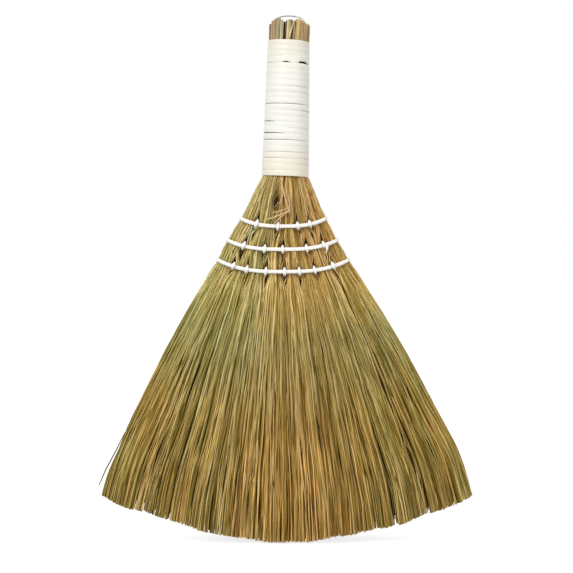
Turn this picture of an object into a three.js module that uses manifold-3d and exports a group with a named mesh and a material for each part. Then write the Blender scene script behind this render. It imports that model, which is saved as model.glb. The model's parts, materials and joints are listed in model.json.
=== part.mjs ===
// A corn hand broom: eight bunches of broomcorn stalks, gripped by a wound cane strip, open into a fan.
// Three rows of white stitching hold the fan, loose fibre sweeps below them, and a wire loop hangs it.
// Millimetres. +Z runs up the handle, X across the fan, and -Y is the front. The fibre tips stand on z = 0.

import * as THREE from "three";
import { mergeVertices } from "three/addons/utils/BufferGeometryUtils.js";
import Module from "manifold-3d";

// The whole broom
const HEIGHT = 369; // from the fibre tips to the top of the hanging loop
const SWEEP_WIDTH = 260; // across the fibre tips
const SWEEP_DEPTH = 37; // from front to back at the fibre tips
const TIP_RISE = 34; // the trimmed tips rise this much from the middle to the corners
const TIP_CUT = 0.5; // the lowest tips are cut flat by this much, so that the broom can stand on them
const CLEARANCE = 0.3; // air between pieces that touch

// The grip
const COLLAR_Z = 256; // lower end of the wrap, where the stalks begin to open out
const WRAP_TOP_Z = 351;
const WRAP_RADIUS_LOW = 16.5; // outside of the wrap at its lower end
const WRAP_RADIUS_TOP = 14.5; // outside of the wrap at its upper end
const WRAP_TURNS = 23;
const WRAP_STEPS = 16; // flat facets in each turn
const STRIP_WIDTH = 3.45;
const STRIP_THICKNESS = 0.9;
const GRIP_LEAN = 0.019; // the grip leans towards +X by this slope
const BINDINGS = [
  { name: "binding_neck", z: 265 },
  { name: "binding_top", z: 339 },
];
const BINDING_WIDTH = 6;
const BINDING_THICKNESS = 1.2;
const GROOVE_SLOPE = 0.5; // length of the slope at each side of a binding's groove

// The stalk ends above the grip
const BUNDLE_TOP_Z = 349; // the bunches are solid up to here, just inside the wrap
const STALK_TOP_Z = 361.8;
const STALK_SIDE_LIFT = 0.6; // each column further from the middle is cut this much higher
const STALK_UNEVENNESS = 0.7; // the cut ends differ by this much
const STALK_SPREAD = 0.2; // the cut ends spread by this share of their distance from the middle
const STALK_RADIUS = 1.36;
const STALK_ROWS = [[4.1, 7.4, 10.7], [4.1, 7.4, 10.5], [4.1, 7.4], [3.2]]; // to front and back, by column
const PIVOT_STALK_RADIUS = 1.6; // the outermost stalk on each side, which the loop's ends go through

// The fan between the grip and the stitching
const SHOULDER = { z: 243, halfWidth: 20.8, halfDepth: 14, rise: 2 };

// The fan's three rows of stitching, from the top. cuts are the places between the bunches, from -1 to 1
// across the fan, and lashed numbers the cuts that a lashing goes through.
const ROWS = [
  {
    z: 220.5, halfWidth: 28.9, halfDepth: 11.2, rise: 5.7,
    cuts: [-0.82, -0.66, -0.42, -0.16, 0.08, 0.32, 0.6], lashed: [1, 3, 5, 6],
  },
  {
    z: 204.5, halfWidth: 37.4, halfDepth: 10, rise: 6.6,
    cuts: [-0.69, -0.52, -0.33, 0.03, 0.25, 0.47, 0.8], lashed: [0, 2, 3, 5, 6],
  },
  {
    z: 189, halfWidth: 45, halfDepth: 9.4, rise: 8.5,
    cuts: [-0.78, -0.57, -0.26, 0.02, 0.25, 0.49, 0.77], lashed: [0, 1, 2, 3, 4, 5, 6],
  },
];
const EDGE_THINNING = 0.5; // the fan's edges are thinner than its middle by this share
const ROUND_EDGE = 0.97; // share of the round grip's half width that the outermost bunches reach
const PILLOW = 0.16; // each bunch is thinner at its sides by this share at the stitching
const SWELL = 1.1; // the bunches swell by this much between the rows
const TIGHT_REACH = 4.2; // the bunches are drawn in this far above and below a row
const LOOSE_REACH = 6.7; // and close up again this far from it
const BAND_RADIUS = 1.3;
const BAND_SQUARENESS = 4; // exponent of the rounded rectangle that a band follows
const EDGE_FLARE = 0.6; // a band stands this much further out at the edges, where the fan opens under it
const LASHING_RADIUS = 1.1;

// The loose fibre
const SKIRT_MIDDLE = { z: 70, halfWidth: 102.5, halfDepth: 14, rise: 27.6 };
const SKIRT_TIPS = { z: 0, halfWidth: SWEEP_WIDTH / 2 - 1, halfDepth: SWEEP_DEPTH / 2 - 0.5, rise: TIP_RISE };
const SKIRT_CUTS = [1, 3, 5]; // the skirt's four parts meet under these cuts of the lowest row
const BACKING_THICKNESS = 4;
const STRAND_COLUMNS = 61;
const OUTER_DEPTH = 0.84; // the front and back strands bend with the fan's curved edge
const CURVED_EDGE = 0.88; // and so do those nearer the edge than this, while the inner ones are straight
const STRAND_DEPTHS = [-OUTER_DEPTH, -OUTER_DEPTH / 2, 0, OUTER_DEPTH / 2, OUTER_DEPTH];
const STRAND_STAGGER = 0.2; // of a column's width, to either side in turn
const STRAND_RADII = { root: 0.55, middle: 1.45, tip: 2 };

// The hanging loop, a wire bail that turns in two of the stalks
const LOOP_WIRE_RADIUS = 0.45;
const LOOP_PIVOT_Z = 357.2;
const LOOP_LEAN = THREE.MathUtils.degToRad(22); // at rest it leans back on the rear stalks
const LOOP_HALF_WIDTH = 10.2;
const LOOP_END_X = 15.2;
const LOOP_BEND = 1;
const LOOP_LEG = 4.2;

const wasm = await Module();
wasm.setup();

const broom = new THREE.Group();
broom.name = "corn_broom";

const stalkLook = { color: 0xa98f57, roughness: 0.75 };
const fibreLook = { color: 0x9a8048, roughness: 0.8 };
const caneLook = { color: 0xf0ebda, roughness: 0.45 };
const cordLook = { color: 0xf6f6f2, roughness: 0.5 };
const bindingLook = { color: 0x7d7a72, roughness: 0.5, metalness: 1 };
const loopLook = { color: 0xa9a9a6, roughness: 0.35, metalness: 1 };

function addPiece(name, geometry, look, parent = broom) {
  const piece = new THREE.Mesh(geometry, new THREE.MeshStandardMaterial(look));
  piece.name = name;
  parent.add(piece);
  return piece;
}

// A ring's cap as a strip that zigzags between its two long sides, so that a curved cap stays smooth.
function capTriangles(count) {
  const triangles = [];
  let near = 0;
  let far = count - 1;
  while (far - near > 1) {
    triangles.push([near, near + 1, far]);
    near += 1;
    if (far - near > 1) {
      triangles.push([near, far - 1, far]);
      far -= 1;
    }
  }
  return triangles;
}

// A body skinned over rings of points that run anticlockwise seen from the last ring. It is capped at both
// ends, or joined end to end when it is a closed loop.
function skin(rings, isLoop = false) {
  const count = rings[0].length;
  const points = rings.flat();
  const spans = isLoop ? rings.length : rings.length - 1;
  const index = [];
  for (let span = 0; span < spans; span++) {
    const low = span * count;
    const high = ((span + 1) % rings.length) * count;
    for (let side = 0; side < count; side++) {
      const next = (side + 1) % count;
      index.push(low + side, low + next, high + next);
      index.push(low + side, high + next, high + side);
    }
  }
  if (!isLoop) {
    const last = points.length - count;
    for (const [a, b, c] of capTriangles(count)) {
      index.push(a, c, b);
      index.push(last + a, last + b, last + c);
    }
  }
  const geometry = new THREE.BufferGeometry().setFromPoints(points);
  geometry.setIndex(index);
  return geometry;
}

function toSolid(geometry) {
  const bare = geometry.clone();
  bare.deleteAttribute("normal");
  bare.deleteAttribute("uv");
  const merged = mergeVertices(bare);
  const vertProperties = new Float32Array(merged.attributes.position.array);
  const triVerts = new Uint32Array(merged.index.array);
  return new wasm.Manifold(new wasm.Mesh({ numProp: 3, vertProperties, triVerts }));
}

function toGeometry(solid) {
  const mesh = solid.getMesh();
  const geometry = new THREE.BufferGeometry();
  geometry.setAttribute("position", new THREE.Float32BufferAttribute(mesh.vertProperties, 3));
  geometry.setIndex(new THREE.Uint32BufferAttribute(mesh.triVerts, 1));
  return geometry;
}

// The same value from -1 to 1 for the same pair of numbers, for lengths that vary from stalk to stalk.
function scatter(first, second) {
  const wave = Math.sin(first * 12.9898 + second * 78.233) * 43758.5453;
  return 2 * (wave - Math.floor(wave)) - 1;
}

function gripAxisX(z) {
  return GRIP_LEAN * Math.max(0, z - COLLAR_Z);
}

function wrapRadius(z) {
  const share = (z - COLLAR_Z) / (WRAP_TOP_Z - COLLAR_Z);
  return THREE.MathUtils.lerp(WRAP_RADIUS_LOW, WRAP_RADIUS_TOP, share);
}

// The stalks fill the wrap as far as the middles of its flat facets.
function bundleRadius(z) {
  return (wrapRadius(z) - STRIP_THICKNESS) * Math.cos(Math.PI / WRAP_STEPS) - CLEARANCE;
}

// Cross-sections of the broom, from the tips up. rise lifts the edges, and flatness goes from a round grip
// to a flat fan.
const GRIP_CUTS = [-0.75, -0.5, -0.25, 0, 0.25, 0.5, 0.75];

function gripSection(z, radius = bundleRadius(z)) {
  return { z, halfWidth: ROUND_EDGE * radius, halfDepth: radius, rise: 0, flatness: 0, cuts: GRIP_CUTS };
}

const [topRow, middleRow, lowRow] = ROWS;
const SECTIONS = [
  { ...SKIRT_TIPS, flatness: 1, cuts: lowRow.cuts },
  { ...SKIRT_MIDDLE, flatness: 1, cuts: lowRow.cuts },
  { ...lowRow, flatness: 1 },
  { ...middleRow, flatness: 1 },
  { ...topRow, flatness: 1 },
  { ...SHOULDER, flatness: 0.5, cuts: topRow.cuts },
  gripSection(COLLAR_Z),
  gripSection(BUNDLE_TOP_Z),
];

function sectionAt(z) {
  const found = SECTIONS.findIndex((section) => section.z >= z);
  const upper = SECTIONS[Math.max(1, found)];
  const lower = SECTIONS[Math.max(1, found) - 1];
  const share = (z - lower.z) / (upper.z - lower.z);
  const mix = (key) => THREE.MathUtils.lerp(lower[key], upper[key], share);
  return {
    z,
    halfWidth: mix("halfWidth"),
    halfDepth: mix("halfDepth"),
    rise: mix("rise"),
    flatness: mix("flatness"),
    cuts: lower.cuts.map((cut, number) => THREE.MathUtils.lerp(cut, upper.cuts[number], share)),
  };
}

// The point of a cross-section at across, from -1 on the left to 1, and depth, from -1 at the front to 1.
function pointAt(section, across, depth) {
  const roundProfile = Math.sqrt(1 - (ROUND_EDGE * across) ** 2);
  const flatProfile = 1 - EDGE_THINNING * Math.abs(across) ** 3;
  const profile = THREE.MathUtils.lerp(roundProfile, flatProfile, section.flatness);
  return new THREE.Vector3(
    gripAxisX(section.z) + section.halfWidth * across,
    section.halfDepth * depth * profile,
    section.z + section.rise * across * across,
  );
}

// One bunch's outline in a section, anticlockwise from the front left. gaps are half the widths of the
// spaces at its two sides.
const OUTLINE_STEPS = [0, 1 / 3, 2 / 3, 1];

function bunchOutline(section, sides, gaps, pillow) {
  const left = sides[0] + gaps[0] / section.halfWidth;
  const right = sides[1] - gaps[1] / section.halfWidth;
  const place = (step, face) => {
    const across = THREE.MathUtils.lerp(left, right, step);
    return pointAt(section, across, face * (1 - pillow * (2 * step - 1) ** 2));
  };
  const front = OUTLINE_STEPS.map((step) => place(step, -1));
  const back = OUTLINE_STEPS.map((step) => place(step, 1)).reverse();
  return [...front, ...back];
}

// The levels that every bunch is skinned through, from the skirt up to the top of the grip
const SLOT_HALF = LASHING_RADIUS + CLEARANCE + 0.05;
const SEAM_HALF = CLEARANCE / 2;

function swollen(section) {
  return { ...section, halfWidth: section.halfWidth + SWELL, halfDepth: section.halfDepth + SWELL };
}

function rowLevels(row) {
  const tight = (offset) => ({
    section: { ...sectionAt(row.z + offset), halfDepth: row.halfDepth },
    pillow: PILLOW,
    slots: row.lashed,
  });
  const loose = (offset) => ({
    section: swollen(sectionAt(row.z + offset)),
    pillow: PILLOW / 2,
    slots: [],
  });
  return [loose(-LOOSE_REACH), tight(-TIGHT_REACH), tight(TIGHT_REACH), loose(LOOSE_REACH)];
}

function bindingLevels(binding) {
  const half = BINDING_WIDTH / 2 + CLEARANCE;
  return [-half - GROOVE_SLOPE, -half, half, half + GROOVE_SLOPE].map((offset) => {
    const z = binding.z + offset;
    const groove = Math.abs(offset) === half ? BINDING_THICKNESS + 2 * CLEARANCE : 0;
    return { section: gripSection(z, bundleRadius(z) - groove), pillow: 0, slots: [] };
  });
}

const plainLevel = (z) => ({ section: sectionAt(z), pillow: 0, slots: [] });

const BUNCH_LEVELS = [
  ...rowLevels(lowRow),
  ...rowLevels(middleRow),
  ...rowLevels(topRow),
  plainLevel(SHOULDER.z),
  plainLevel(COLLAR_Z),
  ...BINDINGS.flatMap(bindingLevels),
  plainLevel(BUNDLE_TOP_Z),
];

function bunchRing(level, number) {
  const cuts = [-1, ...level.section.cuts, 1];
  const gapAt = (edge) => {
    if (edge === 0 || edge === cuts.length - 1) return 0;
    return level.slots.includes(edge - 1) ? SLOT_HALF : SEAM_HALF;
  };
  const sides = [cuts[number], cuts[number + 1]];
  return bunchOutline(level.section, sides, [gapAt(number), gapAt(number + 1)], level.pillow);
}

// The cut end of one stalk, standing on its bunch and spreading outwards
const STALK_SIDES = 5;
const STALK_ROOT = 2; // how deep a stalk end is sunk in its bunch

function spreadAt(z) {
  const share = (z - BUNDLE_TOP_Z) / (STALK_TOP_Z - BUNDLE_TOP_Z);
  return 1 + STALK_SPREAD * Math.max(0, share);
}

function stalkEnd(x, y, topZ, radius, sides = STALK_SIDES) {
  const ringAt = (z) => {
    const spread = spreadAt(z);
    return Array.from({ length: sides }, (_, side) => {
      const angle = (2 * Math.PI * (side + 0.5)) / sides;
      const ringX = gripAxisX(z) + x * spread + radius * Math.cos(angle);
      return new THREE.Vector3(ringX, y * spread + radius * Math.sin(angle), z);
    });
  };
  return skin([ringAt(BUNDLE_TOP_Z - STALK_ROOT), ringAt(topZ)]);
}

// Stalks in the middle are cut lower than those at the sides, so the loop is open under its arch.
function stalkTop(column, row) {
  return STALK_TOP_Z + STALK_SIDE_LIFT * column + STALK_UNEVENNESS * (scatter(column + 1, row) - 0.6);
}

function buildBunch(number) {
  let solid = toSolid(skin(BUNCH_LEVELS.map((level) => bunchRing(level, number))));
  const middle = (GRIP_CUTS.length + 1) / 2;
  const side = number < middle ? -1 : 1;
  const column = number < middle ? middle - 1 - number : number - middle;
  const x = side * ((column + 0.5) / middle) * gripSection(BUNDLE_TOP_Z).halfWidth;
  for (const y of STALK_ROWS[column].flatMap((row) => [-row, row])) {
    const topZ = stalkTop(column, side * y);
    solid = solid.add(toSolid(stalkEnd(x, y, topZ, STALK_RADIUS)));
  }
  if (column === middle - 1) {
    const pivotStalk = stalkEnd(x, 0, stalkTop(column, side), PIVOT_STALK_RADIUS, 8);
    solid = solid.add(toSolid(pivotStalk)).subtract(toSolid(pivotHole()));
  }
  addPiece(`stalk_bunch_${number + 1}`, toGeometry(solid), stalkLook);
}

// One drill through the outermost stalks on both sides
function pivotHole() {
  const radius = LOOP_WIRE_RADIUS + CLEARANCE;
  const hole = new THREE.CylinderGeometry(radius, radius, 4 * LOOP_END_X, 8);
  hole.rotateZ(Math.PI / 2);
  hole.translate(0, 0, LOOP_PIVOT_Z);
  return hole;
}

// The wrap is one flat strip on a helix that falls from left to right across the front.
function buildWrap() {
  const lowZ = COLLAR_Z + STRIP_WIDTH / 2 + CLEARANCE;
  const highZ = WRAP_TOP_Z - STRIP_WIDTH / 2;
  const steps = WRAP_TURNS * WRAP_STEPS;
  const sectionAround = (angle, z, tangentShift) => {
    const outward = new THREE.Vector3(Math.cos(angle), Math.sin(angle), 0);
    const along = new THREE.Vector3(-outward.y, outward.x, 0).multiplyScalar(tangentShift);
    const inner = wrapRadius(z) - STRIP_THICKNESS;
    const corner = (depth, height) =>
      new THREE.Vector3(gripAxisX(z), 0, z + height).addScaledVector(outward, inner + depth).add(along);
    const half = STRIP_WIDTH / 2;
    const outer = STRIP_THICKNESS;
    return [corner(0, -half), corner(0, half), corner(outer, half), corner(outer, -half)];
  };
  const rings = [];
  for (let step = 0; step <= steps; step++) {
    const angle = (2 * Math.PI * step) / WRAP_STEPS;
    const z = THREE.MathUtils.lerp(highZ, lowZ, step / steps);
    rings.push(sectionAround(angle, z, 0));
  }
  const straightEnd = STRIP_WIDTH;
  rings.unshift(sectionAround(0, highZ, -straightEnd));
  rings.push(sectionAround((2 * Math.PI * steps) / WRAP_STEPS, lowZ, straightEnd));
  console.log(`cane_wrap: least gap to itself ${leastGap(rings).toFixed(2)} mm`);
  addPiece("cane_wrap", skin(rings), caneLook);
}

// The least distance between the strip's edges on points that are more than half a turn apart.
function leastGap(rings) {
  let least = Infinity;
  rings.forEach((ring, number) => {
    for (const other of rings.slice(number + WRAP_STEPS / 2)) {
      for (const point of ring) {
        for (const target of other) least = Math.min(least, point.distanceTo(target));
      }
    }
  });
  return least;
}

function buildBinding({ name, z }) {
  const outer = bundleRadius(z + BINDING_WIDTH / 2) - CLEARANCE / 2;
  const inner = outer - BINDING_THICKNESS;
  const half = BINDING_WIDTH / 2;
  const profile = [[inner, -half], [outer, -half], [outer, half], [inner, half], [inner, -half]];
  const ring = new THREE.LatheGeometry(profile.map(([r, h]) => new THREE.Vector2(r, h)), 24);
  ring.rotateX(Math.PI / 2);
  addPiece(name, ring, bindingLook).position.set(gripAxisX(z), 0, z);
}

// A band follows a rounded rectangle just outside the bunches.
function bandAxes(row) {
  const outside = BAND_RADIUS + CLEARANCE;
  return { halfWidth: row.halfWidth + outside + EDGE_FLARE, halfDepth: row.halfDepth + outside };
}

function bandPoint(row, x, face) {
  const { halfWidth, halfDepth } = bandAxes(row);
  const across = x / halfWidth;
  const profile = Math.max(0, 1 - Math.abs(across) ** BAND_SQUARENESS) ** (1 / BAND_SQUARENESS);
  return new THREE.Vector3(x, face * halfDepth * profile, row.z + row.rise * across * across);
}

const BAND_STEPS = 48;
const BAND_SIDES = 5;

function buildBand(row, number) {
  const { halfWidth } = bandAxes(row);
  const points = Array.from({ length: BAND_STEPS }, (_, step) => {
    const angle = (2 * Math.PI * step) / BAND_STEPS;
    const cosine = Math.cos(angle);
    const x = halfWidth * Math.sign(cosine) * Math.abs(cosine) ** (2 / BAND_SQUARENESS);
    return bandPoint(row, x, Math.sign(Math.sin(angle)));
  });
  const path = new THREE.CatmullRomCurve3(points, true);
  const cord = new THREE.TubeGeometry(path, BAND_STEPS, BAND_RADIUS, BAND_SIDES, true);
  addPiece(`stitch_band_${number}`, cord, cordLook);
}

// A lashing goes over the band at the front, through the fan, over the band at the back and through again.
const LASHING_STEPS = 6; // in each half turn
const LASHING_SIDES = 5;

function buildLashing(row, cutNumber, name) {
  const above = sectionAt(row.z + TIGHT_REACH);
  const below = sectionAt(row.z - TIGHT_REACH);
  const high = pointAt(above, above.cuts[cutNumber], 0);
  const low = pointAt(below, below.cuts[cutNumber], 0);
  const x = (high.x + low.x) / 2;
  const down = low.sub(high).normalize();
  const turn = BAND_RADIUS + CLEARANCE + LASHING_RADIUS;
  const rings = [];
  for (const face of [-1, 1]) {
    const centre = bandPoint(row, x, face);
    const outwards = new THREE.Vector3(0, face, 0);
    for (let step = 0; step < LASHING_STEPS; step++) {
      const angle = Math.PI * (step / (LASHING_STEPS - 1) - 0.5) * -face;
      const radial = new THREE.Vector3();
      radial.addScaledVector(outwards, Math.cos(angle)).addScaledVector(down, Math.sin(angle));
      rings.push(lashingRing(centre.clone().addScaledVector(radial, turn), radial, down));
    }
  }
  addPiece(name, skin(rings, true), cordLook);
}

function lashingRing(centre, radial, down) {
  const sideways = new THREE.Vector3(0, 1, 0).cross(down).normalize();
  return Array.from({ length: LASHING_SIDES }, (_, side) => {
    const angle = (2 * Math.PI * side) / LASHING_SIDES;
    const point = centre.clone().addScaledVector(radial, LASHING_RADIUS * Math.cos(angle));
    return point.addScaledVector(sideways, LASHING_RADIUS * Math.sin(angle));
  });
}

// One part of the loose fibre: strands that widen towards the tips, fused to a slice of the bunches' ends.
const SKIRT_TOP_Z = lowRow.z - LOOSE_REACH - CLEARANCE;
const STRAND_SINK = 1.5; // how deep the strands are sunk in their backing

function strand(across, depth, flip) {
  const ringAt = (section, radius) => {
    const centre = pointAt(section, across, depth);
    if (section.z === SKIRT_TIPS.z) centre.z = Math.max(SKIRT_TIPS.z, centre.z - TIP_CUT);
    return [0, 1, 2].map((corner) => {
      const angle = 2 * Math.PI * (corner / 3 + 0.25) + (flip ? Math.PI : 0);
      const reach = new THREE.Vector3(radius * Math.cos(angle), radius * Math.sin(angle), 0);
      return centre.clone().add(reach);
    });
  };
  const [tip, middle] = SECTIONS;
  const root = swollen(sectionAt(SKIRT_TOP_Z - BACKING_THICKNESS + STRAND_SINK));
  const tipRing = ringAt(tip, STRAND_RADII.tip);
  const rootRing = ringAt(root, STRAND_RADII.root);
  const isOuter = Math.abs(depth) === OUTER_DEPTH || Math.abs(across) > CURVED_EDGE;
  return skin(isOuter ? [tipRing, ringAt(middle, STRAND_RADII.middle), rootRing] : [tipRing, rootRing]);
}

function buildSkirt(number, left, right) {
  const gaps = [left === -1 ? 0 : SEAM_HALF, right === 1 ? 0 : SEAM_HALF];
  const levels = [SKIRT_TOP_Z - BACKING_THICKNESS, SKIRT_TOP_Z];
  const backing = levels.map((z) => bunchOutline(swollen(sectionAt(z)), [left, right], gaps, 0));
  let solid = toSolid(skin(backing));
  const columns = Math.round(((right - left) / 2) * STRAND_COLUMNS);
  for (let column = 0; column < columns; column++) {
    STRAND_DEPTHS.forEach((depth, row) => {
      const stagger = row % 2 ? STRAND_STAGGER : -STRAND_STAGGER;
      const across = THREE.MathUtils.lerp(left, right, (column + 0.5 + stagger) / columns);
      solid = solid.add(toSolid(strand(across, depth, column % 2 === 1)));
    });
  }
  addPiece(`fibre_skirt_${number}`, toGeometry(solid), fibreLook);
}

// The hanging loop is modelled about its pivot, in a group that leans it back.
function buildLoop() {
  const archZ = (HEIGHT - LOOP_WIRE_RADIUS - LOOP_PIVOT_Z) / Math.cos(LOOP_LEAN) - LOOP_LEG;
  const arch = new THREE.EllipseCurve(0, LOOP_LEG, LOOP_HALF_WIDTH, archZ, Math.PI, 0, true).getPoints(16);
  const leg = LOOP_HALF_WIDTH;
  const leftEnd = [
    [-LOOP_END_X, 0],
    [-leg - 2 * LOOP_BEND, 0],
    [-leg - 0.3 * LOOP_BEND, 0.3 * LOOP_BEND],
    [-leg, 2 * LOOP_BEND],
  ];
  const rightEnd = leftEnd.map(([x, z]) => [-x, z]).reverse();
  const route = [...leftEnd, ...arch.map((point) => [point.x, point.y]), ...rightEnd];
  const path = new THREE.CatmullRomCurve3(route.map(([x, z]) => new THREE.Vector3(x, 0, z)));
  const corners = [0, 1, 2, 3, 4, 5].map((corner) => {
    const angle = (Math.PI * corner) / 3;
    return new THREE.Vector2(LOOP_WIRE_RADIUS * Math.cos(angle), LOOP_WIRE_RADIUS * Math.sin(angle));
  });
  const wire = new THREE.ExtrudeGeometry(new THREE.Shape(corners), {
    extrudePath: path,
    steps: 44,
    bevelEnabled: false,
  });
  const bail = new THREE.Group();
  bail.position.set(gripAxisX(LOOP_PIVOT_Z), 0, LOOP_PIVOT_Z);
  bail.rotation.x = -LOOP_LEAN;
  broom.add(bail);
  addPiece("hanging_loop", wire, loopLook, bail);
}

for (let number = 0; number <= GRIP_CUTS.length; number++) buildBunch(number);

const skirtEdges = [-1, ...SKIRT_CUTS.map((cut) => lowRow.cuts[cut]), 1];
for (let number = 1; number < skirtEdges.length; number++) {
  buildSkirt(number, skirtEdges[number - 1], skirtEdges[number]);
}

buildWrap();
BINDINGS.forEach(buildBinding);

ROWS.forEach((row, rowNumber) => {
  buildBand(row, rowNumber + 1);
  row.lashed.forEach((cut, count) => buildLashing(row, cut, `lashing_${rowNumber + 1}_${count + 1}`));
});

buildLoop();

export default broom;
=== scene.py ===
# %% [markdown]
# # A corn hand broom
# Broomcorn is a grass whose seed heads dry into stiff, springy straws. A maker gathers the stalks into a
# round grip, winds a pale cane strip round it, spreads the straws into a flat fan and sews the fan with
# white cord. This lesson dresses the engineering model of such a broom. The model is loaded as a fixed
# frame, and every piece made here is placed in it, in metres, with the front of the broom facing -Y.

# %% Load the frame
import json
import math
import random

import bpy
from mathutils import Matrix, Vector

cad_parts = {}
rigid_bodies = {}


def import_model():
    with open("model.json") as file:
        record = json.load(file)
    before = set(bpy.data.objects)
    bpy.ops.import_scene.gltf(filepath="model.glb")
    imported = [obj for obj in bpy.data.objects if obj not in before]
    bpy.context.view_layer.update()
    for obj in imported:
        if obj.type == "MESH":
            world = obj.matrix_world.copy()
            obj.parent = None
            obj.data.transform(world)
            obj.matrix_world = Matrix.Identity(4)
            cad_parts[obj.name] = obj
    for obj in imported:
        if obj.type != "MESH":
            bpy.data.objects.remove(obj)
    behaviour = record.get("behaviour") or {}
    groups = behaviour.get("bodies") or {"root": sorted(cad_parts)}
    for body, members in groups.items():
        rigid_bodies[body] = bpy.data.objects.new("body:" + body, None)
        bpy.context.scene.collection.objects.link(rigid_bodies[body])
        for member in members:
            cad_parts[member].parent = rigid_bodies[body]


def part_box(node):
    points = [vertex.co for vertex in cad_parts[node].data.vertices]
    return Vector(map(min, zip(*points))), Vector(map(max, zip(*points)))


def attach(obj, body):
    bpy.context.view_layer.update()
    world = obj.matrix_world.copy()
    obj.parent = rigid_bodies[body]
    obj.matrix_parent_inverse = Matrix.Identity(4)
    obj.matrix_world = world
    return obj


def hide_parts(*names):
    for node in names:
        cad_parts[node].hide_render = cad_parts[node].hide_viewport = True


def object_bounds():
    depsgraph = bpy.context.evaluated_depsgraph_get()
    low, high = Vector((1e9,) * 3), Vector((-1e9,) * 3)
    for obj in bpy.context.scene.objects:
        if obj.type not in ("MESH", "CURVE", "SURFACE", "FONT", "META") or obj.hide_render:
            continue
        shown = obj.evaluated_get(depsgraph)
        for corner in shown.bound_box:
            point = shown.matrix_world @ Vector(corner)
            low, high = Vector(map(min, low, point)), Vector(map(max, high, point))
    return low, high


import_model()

MM = 0.001
cad_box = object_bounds()

# %% [markdown]
# ## The camera
# The photograph looks at the broom from straight ahead. The rings of the wrap curve upwards at the top of
# the grip and are almost flat at its foot, so the eye is a little below the grip. One pixel of the
# photograph is 0.70 mm on the broom, which sets the lens once a distance is chosen.

# %% Camera
PHOTO_PIXELS = 573
MM_PER_PIXEL = 0.70
CAMERA_DISTANCE = 1000
EYE_HEIGHT = 215
AIM = (1.4, 0, 178.5)
SENSOR = 36

camera = bpy.data.objects.new("photo_camera", bpy.data.cameras.new("photo_camera"))
bpy.context.scene.collection.objects.link(camera)
camera.location = Vector((AIM[0], -CAMERA_DISTANCE, EYE_HEIGHT)) * MM
sight = Vector(AIM) * MM - camera.location
camera.rotation_euler = sight.to_track_quat("-Z", "Y").to_euler()
camera.data.sensor_width = SENSOR
camera.data.lens = SENSOR * sight.length / (PHOTO_PIXELS * MM_PER_PIXEL * MM)
bpy.context.scene.camera = camera
print(f"lens {camera.data.lens:.1f} mm at {sight.length:.3f} m")

# %% [markdown]
# ## Nodes and colours
# Finishes and repeated shapes are both drawn as node trees. They could be clicked together in Blender's
# editor, but a script can be read, changed and run again. One small function adds a node, sets its
# properties, and fills each of its inputs with a value or with a link from another node. Inputs that share
# a name go by number: a Math node's values count from 0, a Map Range has its value, the range that it comes
# from and the range that it goes to as 0 to 4, and a Mix has its factor as 0, two values as 2 and 3 or two
# colours as 6 and 7. Colours are written as the sRGB hex values that a picture editor shows, and turned to
# the linear light that the renderer works in. The scale of a pattern is worked out from the size of its
# marks in millimetres.

# %% Add a node
def fill(tree, node, inputs):
    """Fill a node's inputs, by name or number, with values or with links.

    A link is given as the socket it comes from, or as a node, which stands for its first output in use.
    """
    for key, value in inputs.items():
        if isinstance(value, bpy.types.Node):
            value = next(socket for socket in value.outputs if socket.enabled)
        if isinstance(value, bpy.types.NodeSocket):
            tree.links.new(value, node.inputs[key])
        else:
            node.inputs[key].default_value = value


def put(tree, kind, inputs=None, **settings):
    """Add a node of a kind, with its settings and its inputs."""
    node = tree.nodes.new(kind)
    for name, value in settings.items():
        setattr(node, name, value)
    fill(tree, node, inputs or {})
    return node


# %% Colours, curves and patterns
# The settings of a Mix node that multiplies a colour by another, as a tinted glaze does.
TINTED = {"data_type": "RGBA", "blend_type": "MULTIPLY"}


def linear(hex_colour):
    """The linear colour of an sRGB hex value such as 'b59a5c'."""
    channels = [int(hex_colour[place:place + 2], 16) / 255 for place in (0, 2, 4)]
    light = [c / 12.92 if c <= 0.04045 else ((c + 0.055) / 1.055) ** 2.4 for c in channels]
    return (*light, 1.0)


def set_ramp(node, stops):
    """Give a colour ramp its (place, hex colour) stops."""
    elements = node.color_ramp.elements
    while len(elements) < len(stops):
        elements.new(1.0)
    for element, (place, colour) in zip(elements, stops):
        element.position = place
        element.color = linear(colour)


def set_curve(node, points):
    """Give a float curve its (x, y) points, joined by straight lines."""
    curve = node.mapping.curves[0]
    while len(curve.points) < len(points):
        curve.points.new(0.5, 0.5)
    for point, place in zip(curve.points, points):
        point.location = place
        point.handle_type = "VECTOR"
    node.mapping.update()


def grain(tree, sizes, detail):
    """A noise whose marks have these sizes, in millimetres along x, y and z."""
    place = put(tree, "ShaderNodeTexCoord").outputs["Object"]
    scaled = put(tree, "ShaderNodeMapping", {0: place, 3: [1 / (size * MM) for size in sizes]})
    return put(tree, "ShaderNodeTexNoise", {"Vector": scaled, "Scale": 1.0, "Detail": detail})


def new_finish(name):
    """A material with an empty Principled surface, as (material, tree, surface)."""
    material = bpy.data.materials.new(name)
    material.use_nodes = True
    tree = material.node_tree
    print("finish:", name)
    return material, tree, tree.nodes["Principled BSDF"]


# %% [markdown]
# ## Stage and light
# The photograph is a cut-out on white under soft light from all round. A pale floor and a white world stand
# in for the paper. More light would make them white too, but it would bleach the broom. So what the camera
# sees of them is kept near white by their own colour, and the light that reaches the broom is set apart
# from that: a dim world, a broad lamp at the front left and a weaker one at the right, together about as
# strong as makes a colour render as it is written.

# %% Floor
FLOOR_HALF = 6000
PAPER_GLOW = 0.78


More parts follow.
